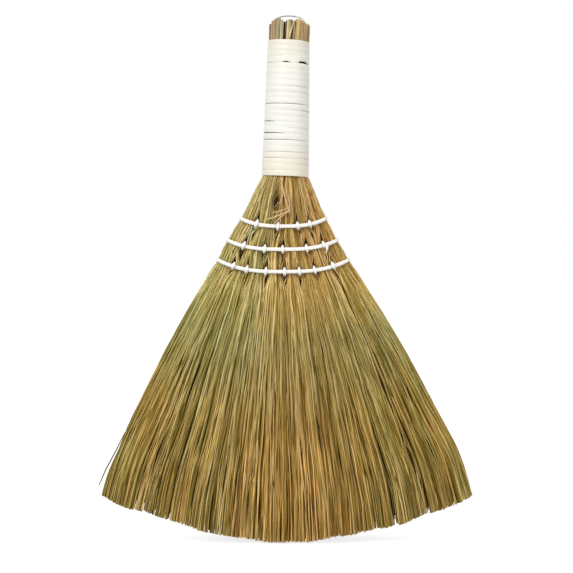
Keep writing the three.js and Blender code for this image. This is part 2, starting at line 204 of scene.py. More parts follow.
def make_object(name, points, edges=(), faces=(), attributes=None):
    """A mesh object from points in millimetres, with named values for each point."""
    mesh = bpy.data.meshes.new(name)
    mesh.from_pydata([Vector(point) * MM for point in points], edges, faces)
    for label, values in (attributes or {}).items():
        mesh.attributes.new(label, "FLOAT", "POINT").data.foreach_set("value", values)
    thing = bpy.data.objects.new(name, mesh)
    bpy.context.scene.collection.objects.link(thing)
    return thing


def seen_directly(tree):
    """1 for a ray that looks straight at the stage or meets it in a mirror or glass, 0 for other light."""
    rays = put(tree, "ShaderNodeLightPath").outputs
    seen = rays["Is Camera Ray"]
    for kind in ("Is Glossy Ray", "Is Transmission Ray"):
        seen = put(tree, "ShaderNodeMath", {0: seen, 1: rays[kind]}, operation="MAXIMUM")
    return seen


corners = [(FLOOR_HALF * x, FLOOR_HALF * y, 0) for x, y in ((-1, -1), (1, -1), (1, 1), (-1, 1))]
floor = make_object("floor", corners, faces=[(0, 1, 2, 3)])

# Matt coated paper: it has no shine, so the eye sees only its white and the broom's soft shadow.
paper, tree, surface = new_finish("matt_white_paper")
glow = put(tree, "ShaderNodeMath", {0: seen_directly(tree), 1: PAPER_GLOW}, operation="MULTIPLY")
fill(tree, surface, {"Base Color": linear("a8a8a8"), "Roughness": 0.9, "Emission Color": linear("ffffff"),
                     "Emission Strength": glow})
floor.data.materials.append(paper)

# %% World and lamps
WORLD_LIGHT = 0.66
SEEN_WHITE = 1.0


def hang_lamp(name, place, power, size):
    """A square soft lamp of a power in watts and a size in metres, aimed at the middle of the broom."""
    lamp = bpy.data.lights.new(name, "AREA")
    lamp.energy = power
    lamp.size = size
    thing = bpy.data.objects.new(name, lamp)
    thing.location = Vector(place) * MM
    thing.rotation_euler = (Vector(AIM) * MM - thing.location).to_track_quat("-Z", "Y").to_euler()
    bpy.context.scene.collection.objects.link(thing)


world = bpy.data.worlds.new("white_studio")
bpy.context.scene.world = world
world.use_nodes = True
tree = world.node_tree
tree.nodes.clear()
soft = put(tree, "ShaderNodeBackground", {"Color": linear("ffffff"), "Strength": WORLD_LIGHT})
white = put(tree, "ShaderNodeBackground", {"Color": linear("ffffff"), "Strength": SEEN_WHITE})
both = put(tree, "ShaderNodeMixShader", {0: seen_directly(tree), 1: soft, 2: white})
put(tree, "ShaderNodeOutputWorld", {"Surface": both})

hang_lamp("key_lamp", (-1300, -2100, 1700), power=45, size=1.7)
hang_lamp("fill_lamp", (1500, -1800, 350), power=16, size=1.9)

scene = bpy.context.scene
scene.view_settings.view_transform = "Standard"

# %% [markdown]
# ## The finish of the straw
# Dried broomcorn is a plant fibre with a thin waxy skin. Straws from one field differ: golden, olive where
# they were cut green, rosy where they reddened in the sun, and darker towards the tips at the flanks. One
# picture of straw could be stretched over the fan, but then no straw would have a colour of its own. Here
# each straw carries four values: tone picks its colour, lock is shared by the straws of one lock of fibre,
# along runs from 0 at the collar to 1 at the tips, and outer from 0 inside the fan to 1 at its faces.

# %% What a straw tells its finish
STRAW_VALUES = ("tone", "lock", "along", "outer")


def read_straw(tree):
    """A straw's own values and how far right of the middle it lies, as sockets."""
    straw = {}
    for name in STRAW_VALUES:
        straw[name] = put(tree, "ShaderNodeAttribute", attribute_name=name).outputs["Fac"]
    place = put(tree, "ShaderNodeTexCoord").outputs["Object"]
    straw["x"] = put(tree, "ShaderNodeSeparateXYZ", {0: place}).outputs["X"]
    return straw


def share_at_flanks(tree, straw):
    """How green a straw's place makes it, and how dark its tips: most at the flanks, and more at the left
    one.
    """
    flank = put(tree, "ShaderNodeMath", {0: straw["x"]}, operation="ABSOLUTE")
    flank = put(tree, "ShaderNodeMapRange", {0: flank, 1: 10 * MM, 2: 100 * MM, 3: 0.0, 4: 0.38})
    left_share = put(tree, "ShaderNodeMapRange", {0: straw["along"], 1: 0.15, 2: 0.35, 3: 0.3, 4: 0.1})
    left = put(tree, "ShaderNodeMapRange", {0: straw["x"], 1: -3 * MM, 2: -25 * MM, 3: 0.0, 4: left_share})
    return put(tree, "ShaderNodeMath", {0: flank, 1: left}, operation="ADD")


print("a straw's values:", *STRAW_VALUES)

# %% Golden or olive
COMMON_TONE = 0.3
GREEN_PATCH = (22.22, 22.22, 125)


def pick_colour(tree, straw, flank):
    """Golden or olive by the straw's tone. Olive ones are commoner at the flanks and come in patches."""
    # The straws are most alike just below the stitching, where none is worn yet.
    evenness = put(tree, "ShaderNodeFloatCurve", {1: straw["along"]})
    set_curve(evenness, [(0, 0), (0.15, 0), (0.24, 0.45), (0.31, 0.45), (0.43, 0), (1, 0)])
    tone = put(tree, "ShaderNodeMix", {0: evenness, 2: straw["tone"], 3: COMMON_TONE})
    golden = put(tree, "ShaderNodeValToRGB", {0: tone})
    set_ramp(golden, [(0.0, "785a16"), (0.2, "ab8a42"), (0.45, "d8b872"), (0.7, "ebd198"), (0.85, "d3af70"),
                      (0.94, "c09a70"), (1.0, "efd9aa")])
    olive = put(tree, "ShaderNodeValToRGB", {0: tone})
    set_ramp(olive, [(0.0, "665c16"), (0.2, "938943"), (0.45, "bfb471"), (0.7, "d5cb96"), (0.88, "b4aa66"),
                     (1.0, "e3daa5")])
    own = put(tree, "ShaderNodeTexWhiteNoise", {"W": straw["tone"]}, noise_dimensions="1D")
    patch = grain(tree, GREEN_PATCH, detail=1.0)
    green = flank
    for cause, weight in ((own, 0.45), (straw["lock"], 0.3), (patch, 0.8)):
        green = put(tree, "ShaderNodeMath", {0: cause, 1: weight, 2: green}, operation="MULTIPLY_ADD")
    green = put(tree, "ShaderNodeMapRange", {0: green, 1: 0.55, 2: 1.3})
    return put(tree, "ShaderNodeMix", {0: green, 6: golden, 7: olive}, data_type="RGBA")


# %% Painted shade of deep straws, dust and tints
def paint_deep_shade_and_tints(tree, straw, flank, colour):
    """Painted shade and dust brown the deep straws. The tips yellow with age, and at the flanks they are
    darker.
    """
    # Painted shade: the deeper a straw lies in the fan, the darker and browner it is painted, partly for
    # dust.
    deep_shade_and_dust = put(tree, "ShaderNodeMapRange", {0: straw["outer"], 1: 0.3, 2: 0.75, 3: 0.7, 4: 0.0})
    colour = put(tree, "ShaderNodeMix", {0: deep_shade_and_dust, 6: colour, 7: linear("86560f")}, **TINTED)
    age = put(tree, "ShaderNodeValToRGB", {0: straw["along"]})
    set_ramp(age, [(0.0, "fafaff"), (0.2, "ffffff"), (0.27, "eef2ee"), (0.34, "dfe9ea"), (0.6, "efe3ca"),
                   (0.95, "fff2dc")])
    colour = put(tree, "ShaderNodeMix", {0: 1.0, 6: colour, 7: age}, **TINTED)
    # At the flanks the tips are darker and browner.
    flank_tip_darkening = put(tree, "ShaderNodeMapRange", {0: straw["along"], 1: 0.6, 2: 1.0, 3: 0.0, 4: 0.8})
    flank_tip_darkening = put(tree, "ShaderNodeMath", {0: flank_tip_darkening, 1: flank}, operation="MULTIPLY")
    return put(tree, "ShaderNodeMix", {0: flank_tip_darkening, 6: colour, 7: linear("4c4014")}, data_type="RGBA")


# %% Rosy straws
ROSY_PATCH = (16.67, 16.67, 83.3)


def blush(tree, straw, colour):
    """Rosy straws lie right of the middle, most in the neck and near the tips, and elsewhere in patches."""
    right = put(tree, "ShaderNodeMapRange", {0: straw["x"], 1: -10 * MM, 2: 20 * MM})
    left = put(tree, "ShaderNodeMapRange", {0: straw["x"], 1: 100 * MM, 2: 50 * MM})
    share = put(tree, "ShaderNodeFloatCurve", {1: straw["along"]})
    set_curve(share, [(0, 0.5), (0.12, 0.4), (0.2, 0.15), (0.5, 0.1), (1, 0.25)])
    rosy = right
    for limit in (left, share):
        rosy = put(tree, "ShaderNodeMath", {0: rosy, 1: limit}, operation="MULTIPLY")
    strength = put(tree, "ShaderNodeMapRange", {0: straw["along"], 1: 0.25, 2: 0.5, 3: 0.05, 4: 0.27})
    patch = grain(tree, ROSY_PATCH, detail=1.0)
    patch = put(tree, "ShaderNodeMapRange", {0: patch, 1: 0.5, 2: 0.62, 3: 0.0, 4: strength})
    rosy = put(tree, "ShaderNodeMath", {0: rosy, 1: patch}, operation="MAXIMUM")
    return put(tree, "ShaderNodeMix", {0: rosy, 6: colour, 7: linear("ffd6bc")}, **TINTED)


# %% Streaks along the straw
STRAW_LENGTH = 270
STREAK_LENGTH = 54
# Straws of nearly the same tone are set this far apart in the noise, so that they don't share a streak.
STREAK_SPREAD = 997.0


def streak(tree, straw, colour):
    """Lighter and darker stretches along each straw, most at the tips, as (colour, the streaks' noise)."""
    strip = put(tree, "ShaderNodeMath", {0: straw["tone"], 1: STREAK_SPREAD}, operation="MULTIPLY")
    stretch = put(tree, "ShaderNodeMath", {0: straw["along"], 1: STRAW_LENGTH / STREAK_LENGTH},
                  operation="MULTIPLY")
    strip = put(tree, "ShaderNodeCombineXYZ", {0: strip, 1: stretch})
    streaks = put(tree, "ShaderNodeTexNoise", {"Vector": strip, "Scale": 1.0, "Detail": 2.0},
                  noise_dimensions="2D")
    darkest = put(tree, "ShaderNodeMapRange", {0: straw["along"], 1: 0.3, 2: 0.8, 3: 0.86, 4: 0.55})
    lightest = put(tree, "ShaderNodeMapRange", {0: straw["along"], 1: 0.3, 2: 0.8, 3: 1.3, 4: 1.58})
    shade = put(tree, "ShaderNodeMapRange", {0: streaks, 1: 0.3, 2: 0.7, 3: darkest, 4: lightest})
    colour = put(tree, "ShaderNodeMix", {0: 1.0, 6: colour, 7: shade}, **TINTED)
    # What is darker is also a little browner.
    brown = put(tree, "ShaderNodeMapRange", {0: streaks, 1: 0.3, 2: 0.6, 3: 1.0, 4: 0.0})
    colour = put(tree, "ShaderNodeMix", {0: brown, 6: colour, 7: linear("fdfadf")}, **TINTED)
    return colour, streaks


# %% Broomcorn
def make_broomcorn():
    # Dried broomcorn: dull fibre under a thin wax. It looks matt, with a faint shine in places.
    material, tree, surface = new_finish("dried_broomcorn")
    straw = read_straw(tree)
    flank = share_at_flanks(tree, straw)
    colour = pick_colour(tree, straw, flank)
    colour = paint_deep_shade_and_tints(tree, straw, flank, colour)
    colour = blush(tree, straw, colour)
    colour, streaks = streak(tree, straw, colour)
    gloss = put(tree, "ShaderNodeMapRange", {0: streaks, 1: 0.3, 2: 0.7, 3: 0.5, 4: 0.75})
    fill(tree, surface, {"Base Color": colour, "Roughness": gloss, "IOR": 1.45, "Specular IOR Level": 0.2})
    return material


broomcorn = make_broomcorn()

# %% [markdown]
# ## The shape of the fan
# The straws lie in eight bunches. Every cross-section of the broom is round in the grip and a flat, rounded
# slab in the fan, and the stitching pinches it. The faces of the engineering model could give the shape, but
# they are coarse. A few cross-sections with smooth curves through them have a place for any straw. The rows
# of stitching are among them, and their places are read from the model's bands and lashings.

# %% Measure the frame
CORD_RADIUS = 1.3
BAND_SLACK = 0.6
ROW_DRAW = 0.992
LASHINGS = (4, 5, 7)


def middle_of(node):
    low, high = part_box(node)
    return [(low[axis] + high[axis]) / 2 / MM for axis in range(3)]


def span_of(node, axis):
    low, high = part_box(node)
    return low[axis] / MM, high[axis] / MM


def measure_row(number, lashings):
    """A row of stitching: its height, the half width and depth of the fan inside it, and its lashings."""
    band = f"stitch_band_{number}"
    low_z, high_z = span_of(band, 2)
    row = {
        "z": low_z + CORD_RADIUS,
        "half_width": ROW_DRAW * (span_of(band, 0)[1] - 2 * CORD_RADIUS - BAND_SLACK),
        "half_depth": span_of(band, 1)[1] - 2 * CORD_RADIUS,
        "rise": high_z - low_z - 2 * CORD_RADIUS,
        "lashings": [f"lashing_{number}_{place}" for place in range(1, lashings + 1)],
    }
    print(f"row {number}: z {row['z']:.1f} mm, half width {row['half_width']:.1f} mm")
    return row


COLLAR_Z, WRAP_TOP_Z = span_of("cane_wrap", 2)
SWEEP_HALF_WIDTH = max(abs(edge) / MM for edge in (cad_box[0][0], cad_box[1][0]))
rows = [measure_row(number, lashings) for number, lashings in enumerate(LASHINGS, start=1)]

# %% Cross-sections
ROW_MIDDLES = (-0.7, -1.5, -0.9)
ROW_BOW = 2.8

for row, middle in zip(rows, ROW_MIDDLES):
    row.update(middle=middle, bow=ROW_BOW, flatness=1)
TOP_ROW, MIDDLE_ROW, LOW_ROW = rows


def section(z, half_width, half_depth, rise, bow, middle, flatness=1):
    """One cross-section: its ends stand higher than its middle by the rise, along a curve of power bow."""
    return {"z": z, "half_width": half_width, "half_depth": half_depth, "rise": rise, "bow": bow,
            "middle": middle, "flatness": flatness}


# From the collar down: z, half width, half depth, rise, bow and middle, in millimetres.
SECTIONS = [
    section(268, 10.5, 11.0, 0, 2, 0.8, flatness=0),
    section(257, 14.6, 14.2, 0, 2, 0.5, flatness=0),
    section(250, 17.8, 14.6, 0.8, 2, 0.3, flatness=0.2),
    section(242, 20.9, 14.4, 2.2, 2, 0.0, flatness=0.5),
    TOP_ROW,
    section(212.5, 33.7, 12, 6.2, 2.8, -1.1),
    MIDDLE_ROW,
    section(196.8, 41.7, 11.2, 7.6, 2.8, -1.2),
    LOW_ROW,
    section(178, 51.5, 11, 10, 2.6, -0.8),
    section(120, 80.8, 13, 19, 2.2, 0.4),
    section(70, 103.3, 14.6, 26, 1.9, 1.2),
    section(30, 121.0, 15.8, 30.5, 1.7, 1.8),
    section(-8, 131.5, 16.6, 33, 1.6, 1.8),
]
print(len(SECTIONS), "cross-sections")

# %% Any place in the fan
EDGE_THINNING = 0.5
ROUND_EDGE = 0.97


def smooth_value(z, key):
    """A smooth curve through one value of the sections, at a height."""
    heights = [place["z"] for place in SECTIONS]
    values = [place[key] for place in SECTIONS]
    low = next((n for n in range(1, len(heights) - 1) if z >= heights[n]), len(heights) - 1)
    high = low - 1

    def slope(n):
        before, after = max(0, n - 1), min(len(values) - 1, n + 1)
        return (values[after] - values[before]) / (heights[after] - heights[before])

    span = heights[low] - heights[high]
    f = (z - heights[high]) / span
    start = values[high] * (1 + 2 * f) * (1 - f) ** 2 + slope(high) * span * f * (1 - f) ** 2
    return start + values[low] * f * f * (3 - 2 * f) + slope(low) * span * f * f * (f - 1)


def section_at(z):
    keys = ("half_width", "half_depth", "rise", "bow", "middle", "flatness")
    found = {key: smooth_value(z, key) for key in keys}
    found["z"] = z
    found["flatness"] = min(1, max(0, found["flatness"]))
    return found


def point_at(place, across, depth):
    """The point of a section at across, -1 left to 1 right, and depth, -1 front to 1 back."""
    round_profile = math.sqrt(max(0, 1 - (ROUND_EDGE * across) ** 2))
    flat_profile = 1 - EDGE_THINNING * abs(across) ** 3
    profile = round_profile + (flat_profile - round_profile) * place["flatness"]
    return Vector((place["middle"] + place["half_width"] * across, place["half_depth"] * depth * profile,
                   place["z"] + place["rise"] * abs(across) ** place["bow"]))


print("half width at the sweep:", round(section_at(0)["half_width"], 1), "mm")

# %% [markdown]
# ## Guides for the straws
# Each bunch gets a guide, a sheet over its front from the collar to the tips. The sheet's UV map says where
# a straw runs: U goes across the bunch and V from the collar down. Where a lashing is pulled tight it parts
# the straws, and lower down the fan has split into many narrow clefts. Dark streaks of colour could stand
# for these, but they would look painted on from the side. So the points of the sheets near an opening are
# pushed aside and rolled inwards, and straws laid on them leave a real one. The sheets reach a little past
# the sides of their bunch, for straws that spill over.

# %% Openings between the straws
# Sizes of an opening: half its width, its reach above and below, and how far aside it still pushes.
LASHING_OPENING = {"half_width": 2.0, "above": 5, "below": 9, "spread": 3.2}
NECK_OPENING = {"x": -5.2, "z": 236, "half_width": 2.6, "above": 6, "below": 7, "spread": 3.2, "lean": 0}
WIDE_CLEFT = {"half_width": 1.3, "above": 20, "below": 20, "spread": 2.6}
EDGE_CLEFT = {"half_width": 2.4, "above": 16, "below": 12, "spread": 5}
CLEFTS = 60
CLEFT_SPREAD = 1.5


def opening_at(z, across, shape):
    """An opening of a shape at a place in the fan, leaning as the straws there do."""
    spot, higher = point_at(section_at(z), across, 0), point_at(section_at(z + 5), across, 0)
    return {"x": spot.x, "z": spot.z, "lean": (spot.x - higher.x) / (higher.z - spot.z), **shape}


openings = [NECK_OPENING, opening_at(45, 0.745, WIDE_CLEFT), opening_at(33, -1.02, EDGE_CLEFT)]
for row in rows:
    for lashing in row["lashings"]:
        openings.append(opening_at(row["z"], middle_of(lashing)[0] / row["half_width"], LASHING_OPENING))
chance = random.Random(23)
for cleft in range(CLEFTS):
    reach = chance.uniform(8, 22)
    shape = {"half_width": chance.uniform(0.3, 0.6), "above": reach, "below": reach, "spread": CLEFT_SPREAD}
    openings.append(opening_at(chance.uniform(14, 115), chance.uniform(-0.94, 0.94), shape))
print(len(openings), "openings")

# %% Part the straws
OPENING_ROLL = 0.5
# An opening's push fades with distance, and is left out this many times its reach away.
FADED_AT = 3


def part(point):
    """Push a point of a guide out of the openings near it."""
    aside, roll = 0.0, 0.0
    for opening in openings:
        drop = opening["z"] - point.z
        off = point.x - opening["x"] - opening["lean"] * drop
        reach = opening["below"] if drop > 0 else opening["above"]
        if abs(drop) > FADED_AT * reach or abs(off) > FADED_AT * opening["spread"]:
            continue
        nearness = math.exp(-(drop / reach) ** 2 - (off / opening["spread"]) ** 2)
        aside += math.copysign(opening["half_width"], off) * nearness
        roll = max(roll, nearness * min(1, opening["half_width"]))
    return Vector((point.x + aside, point.y * (1 - OPENING_ROLL * roll), point.z))


# %% Make the guides
BUNCH_EDGES = (-1, -0.78, -0.57, -0.26, 0.02, 0.25, 0.49, 0.77, 1)
GUIDE_TOP_Z = 264
GUIDE_ROWS = 96
GUIDE_COLUMNS = 80
GUIDE_SPILL = 0.15


def make_guide(number):
    left, right = BUNCH_EDGES[number:number + 2]
    points = []
    places = []
    for line in range(GUIDE_ROWS + 1):
        v = line / GUIDE_ROWS
        here = section_at(GUIDE_TOP_Z - STRAW_LENGTH * v)
        for column in range(GUIDE_COLUMNS + 1):
            u = (1 + 2 * GUIDE_SPILL) * column / GUIDE_COLUMNS - GUIDE_SPILL
            points.append(part(point_at(here, left + (right - left) * u, -1)))
            places.append((u, v))
    width = GUIDE_COLUMNS + 1
    starts = [n for n in range(GUIDE_ROWS * width) if n % width < GUIDE_COLUMNS]
    faces = [(n, n + 1, n + 1 + width, n + width) for n in starts]
    guide = make_object(f"fan_bunch_{number + 1}", points, faces=faces)
    uv = guide.data.uv_layers.new(name="lay")
    for loop in guide.data.loops:
        uv.data[loop.index].uv = places[loop.vertex_index]
    return guide


guides = [make_guide(number) for number in range(len(BUNCH_EDGES) - 1)]
print(len(guides), "guides of", len(guides[0].data.polygons), "faces")

# %% [markdown]
# ## Growing a piece from a tree
# A geometry tree is a recipe with named inputs. It could stay live on its object, but the exported model
# carries plain meshes only. So an object runs the tree once through a modifier and keeps the result as its
# mesh. The mesh is then mounted: it rides on one of the model's bodies and stands for the solids that it
# covers, which are hidden.

# %% Trees and mounts
def new_tree(name, inputs):
    """A geometry tree with a mesh in, a mesh out and the named inputs, as (tree, the inputs' sockets)."""
    tree = bpy.data.node_groups.new(name, "GeometryNodeTree")
    tree.interface.new_socket("Geometry", in_out="INPUT", socket_type="NodeSocketGeometry")
    for label, kind in inputs.items():
        tree.interface.new_socket(label, in_out="INPUT", socket_type="NodeSocket" + kind)
    tree.interface.new_socket("Geometry", in_out="OUTPUT", socket_type="NodeSocketGeometry")
    return tree, put(tree, "NodeGroupInput").outputs


def sweep(tree, path, outline, scale):
    """Carry an outline along a path, with closed ends and smooth shading."""
    swept = put(tree, "GeometryNodeCurveToMesh",
                {"Curve": path, "Profile Curve": outline, "Scale": scale, "Fill Caps": True})
    return put(tree, "GeometryNodeSetShadeSmooth", {"Geometry": swept})


def end_tree(tree, shape, finish):
    """End a tree with real faces, not instances of them, and their finish."""
    shape = put(tree, "GeometryNodeRealizeInstances", {"Geometry": shape})
    shape = put(tree, "GeometryNodeSetMaterial", {"Geometry": shape, "Material": finish})
    put(tree, "NodeGroupOutput", {"Geometry": shape})
    print("tree:", tree.name, len(tree.nodes), "nodes")
    return tree


def grow(thing, tree, values):
    """Run a tree on an object once and keep the result as a plain mesh."""
    modifier = thing.modifiers.new("grow", "NODES")
    modifier.node_group = tree
    sockets = [item for item in tree.interface.items_tree if item.in_out == "INPUT"]
    places = {socket.name: socket.identifier for socket in sockets}
    for label, value in values.items():
        modifier[places[label]] = value
    evaluated = thing.evaluated_get(bpy.context.evaluated_depsgraph_get())
    mesh = bpy.data.meshes.new_from_object(evaluated)
    thing.modifiers.remove(modifier)
    thing.data = mesh
    mesh.name = thing.name
    print(f"{thing.name}: {len(mesh.polygons)} faces")


def mount(thing, body, slot, *nodes):
    """Make a finished piece ride on a body and hide the CAD nodes that it stands for. The slot is not used.
    """
    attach(thing, body)
    if nodes:
        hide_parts(*nodes)


# %% [markdown]
# ## Laying the straws
# The fan is thousands of loose straws. Blender's hair could draw them, but it isn't exported as a mesh and
# can't be told where to part. This tree makes one line for each straw, then moves the points of the line
# onto the guide. Only some straws start under the collar. The rest branch off inside the bunch and come to
# the surface lower down, because the fan grows eight times wider than the grip. Straws gather in locks
# towards the tips, wander a little, and end at the trimmed edge. A straw has four sides, which is enough at
# under a millimetre thick.

# %% Numbers for straws and locks
BUNCH_STEP = 7919.0


def number_straws(tree, given):
    """A number for each straw and each lock. Every random value is drawn for one, with its own seed."""
    index = put(tree, "GeometryNodeCurveOfPoint").outputs["Curve Index"]
    shift = put(tree, "ShaderNodeMath", {0: given["Seed"], 1: BUNCH_STEP}, operation="MULTIPLY")
    straw = put(tree, "ShaderNodeMath", {0: index, 1: shift}, operation="ADD")
    side = put(tree, "FunctionNodeRandomValue", {"ID": straw, "Seed": 2})
    order = put(tree, "ShaderNodeMath", {0: side, 1: given["Locks"]}, operation="MULTIPLY")
    order = put(tree, "ShaderNodeMath", {0: order}, operation="FLOOR")
    lock = put(tree, "ShaderNodeMath", {0: order, 1: shift}, operation="ADD")
    middle = put(tree, "ShaderNodeMath", {0: order, 1: 0.5}, operation="ADD")
    middle = put(tree, "ShaderNodeMath", {0: middle, 1: given["Locks"]}, operation="DIVIDE")
    return {"straw": straw, "lock": lock, "side": side, "lock_middle": middle}


# %% Where a straw starts and ends
# Above 1, this crowds a straw's points towards its root, where it bends most.
ROOT_CROWDING = 1.5


def run_along(tree, given, ids):
    """Where a straw branches off, and how far along the guide each of its points lies."""
    # Three in ten start at the collar. The last to branch off does so a little past half way down.
    branch = put(tree, "FunctionNodeRandomValue", {"ID": ids["straw"], "Seed": 1})
    root = put(tree, "ShaderNodeFloatCurve", {1: branch})
    set_curve(root, [(0, 0), (0.3, 0), (0.6, 0.2), (1, 0.55)])

    # The cut is not quite even from straw to straw or from lock to lock, and each bunch ends in an arc.
    own_trim = put(tree, "FunctionNodeRandomValue", {2: -1.0, 3: 0.6, "ID": ids["straw"], "Seed": 5})
    lock_trim = put(tree, "FunctionNodeRandomValue", {2: -0.7, 3: 0.7, "ID": ids["lock"], "Seed": 14})
    trim = put(tree, "ShaderNodeMath", {0: own_trim, 1: lock_trim}, operation="ADD")
    end = put(tree, "ShaderNodeMath", {0: trim, 1: given["Raggedness"], 2: given["Trim"]},
              operation="MULTIPLY_ADD")
    aside = put(tree, "ShaderNodeMath", {0: ids["side"], 1: 0.5}, operation="SUBTRACT")
    aside = put(tree, "ShaderNodeMath", {0: aside, 1: 2.0}, operation="POWER")
    arc = put(tree, "ShaderNodeMath", {0: aside, 1: given["Scallop"]}, operation="MULTIPLY")
    end = put(tree, "ShaderNodeMath", {0: end, 1: arc}, operation="SUBTRACT")

    factor = put(tree, "GeometryNodeSplineParameter").outputs["Factor"]
    factor = put(tree, "ShaderNodeMath", {0: factor, 1: ROOT_CROWDING}, operation="POWER")
    return root, put(tree, "ShaderNodeMapRange", {0: factor, 3: root, 4: end})


# %% How a straw wanders
WANDER_STEP = 3.17
WANDER_RATE = 14.0


def wander(tree, ids, along):
    """Smooth noise, different for each straw, as its waves sideways and in depth."""
    walk = put(tree, "ShaderNodeMath", {0: ids["straw"], 1: WANDER_STEP}, operation="MULTIPLY")
    distance = put(tree, "ShaderNodeMath", {0: along, 1: 0.5}, operation="POWER")
    walk = put(tree, "ShaderNodeCombineXYZ", {0: walk, 1: distance})
    noise = put(tree, "ShaderNodeTexNoise", {"Vector": walk, "Scale": WANDER_RATE, "Detail": 1.5},
                noise_dimensions="2D")
    waves = put(tree, "FunctionNodeSeparateColor", {0: noise.outputs["Color"]})
    wave_side = put(tree, "ShaderNodeMath", {0: waves.outputs["Red"], 1: 0.5}, operation="SUBTRACT")
    wave_depth = put(tree, "ShaderNodeMath", {0: waves.outputs["Blue"], 1: 0.5}, operation="SUBTRACT")
    # Straws are loosest between the collar and the last row of stitching.
    looseness = put(tree, "ShaderNodeFloatCurve", {1: along})
    set_curve(looseness, [(0, 0.1), (0.04, 0.4), (0.1, 0.85), (0.22, 0.8), (0.4, 0.4), (0.6, 0.25),
                          (1, 0.16)])
    wave_side = put(tree, "ShaderNodeMath", {0: wave_side, 1: looseness}, operation="MULTIPLY")
    return wave_side, wave_depth


# %% A straw's place across its bunch
def lay_across(tree, given, ids, along, layer, wave):
    # Outer straws are drawn to the middle of their lock, most of all some way above the tips.
    outwards = put(tree, "ShaderNodeMath", {0: layer}, operation="ABSOLUTE")
    tightness = put(tree, "FunctionNodeRandomValue", {2: 0.3, 3: 1.0, "ID": ids["lock"], "Seed": 11})
    gathered = put(tree, "ShaderNodeFloatCurve", {1: along})
    set_curve(gathered, [(0, 0), (0.3, 0), (0.5, 0.5), (0.75, 1), (1, 0.1)])
    for share in (given["Lock Draw"], outwards, gathered):
        tightness = put(tree, "ShaderNodeMath", {0: tightness, 1: share}, operation="MULTIPLY")
    across = put(tree, "ShaderNodeMix", {0: tightness, 2: ids["side"], 3: ids["lock_middle"]})

    # Below the stitching a straw leans with its lock and by itself.
    lock_lean = put(tree, "FunctionNodeRandomValue", {2: -0.5, 3: 0.5, "ID": ids["lock"], "Seed": 12})
    own_lean = put(tree, "FunctionNodeRandomValue", {2: -0.7, 3: 0.7, "ID": ids["straw"], "Seed": 15})
    lean = put(tree, "ShaderNodeMath", {0: lock_lean, 1: own_lean}, operation="ADD")
    lean = put(tree, "ShaderNodeMath", {0: lean, 1: given["Lock Lean"]}, operation="MULTIPLY")
    below = put(tree, "ShaderNodeMapRange", {0: along, 1: 0.3, 2: 1.0})
    for push, reach in ((lean, below), (wave, given["Waviness"])):
        across = put(tree, "ShaderNodeMath", {0: push, 1: reach, 2: across}, operation="MULTIPLY_ADD")

    # It spills past the side of its bunch only where another bunch lies.
    least = put(tree, "ShaderNodeMath", {0: given["Spill Left"], 1: -1.0}, operation="MULTIPLY")
    most = put(tree, "ShaderNodeMath", {0: given["Spill Right"], 1: 1.0}, operation="ADD")
    return put(tree, "ShaderNodeClamp", {0: across, 1: least, 2: most})


# %% A straw's depth
WAVE_DEPTH = 0.18


def pick_layer(tree, ids):
    """The layer of a straw, from -1 at the front to 1 at the back. Most straws lie near one face."""
    layer = put(tree, "FunctionNodeRandomValue", {"ID": ids["straw"], "Seed": 3})
    layer = put(tree, "ShaderNodeFloatCurve", {1: layer})
    set_curve(layer, [(0, 0), (0.3, 0.12), (0.5, 0.5), (0.7, 0.88), (1, 1)])
    return put(tree, "ShaderNodeMapRange", {0: layer, 3: -1.0, 4: 1.0})


def lay_deep(tree, ids, root, along, layer, wave):
    """Branches rise to their layer, and whole locks lie deeper than others."""
    root_depth = put(tree, "ShaderNodeMapRange", {0: root, 1: 0.0, 2: 0.08, 3: 1.0, 4: 0.5})
    risen_at = put(tree, "ShaderNodeMath", {0: root, 1: 0.2}, operation="ADD")
    risen = put(tree, "ShaderNodeMapRange", {0: along, 1: root, 2: risen_at, 3: root_depth, 4: 1.0},
                interpolation_type="SMOOTHSTEP")
    recess = put(tree, "FunctionNodeRandomValue", {2: 1.0, 3: 0.8, "ID": ids["lock"], "Seed": 13})
    recess = put(tree, "ShaderNodeMapRange", {0: along, 1: 0.25, 2: 0.8, 3: 1.0, 4: recess},
                 interpolation_type="SMOOTHSTEP")
    depth = layer
    for share in (risen, recess):
        depth = put(tree, "ShaderNodeMath", {0: depth, 1: share}, operation="MULTIPLY")
    return put(tree, "ShaderNodeMath", {0: wave, 1: WAVE_DEPTH, 2: depth}, operation="MULTIPLY_ADD")


# %% Straw tree
STRAW_POINTS = 34
STRAW_SIDES = 4


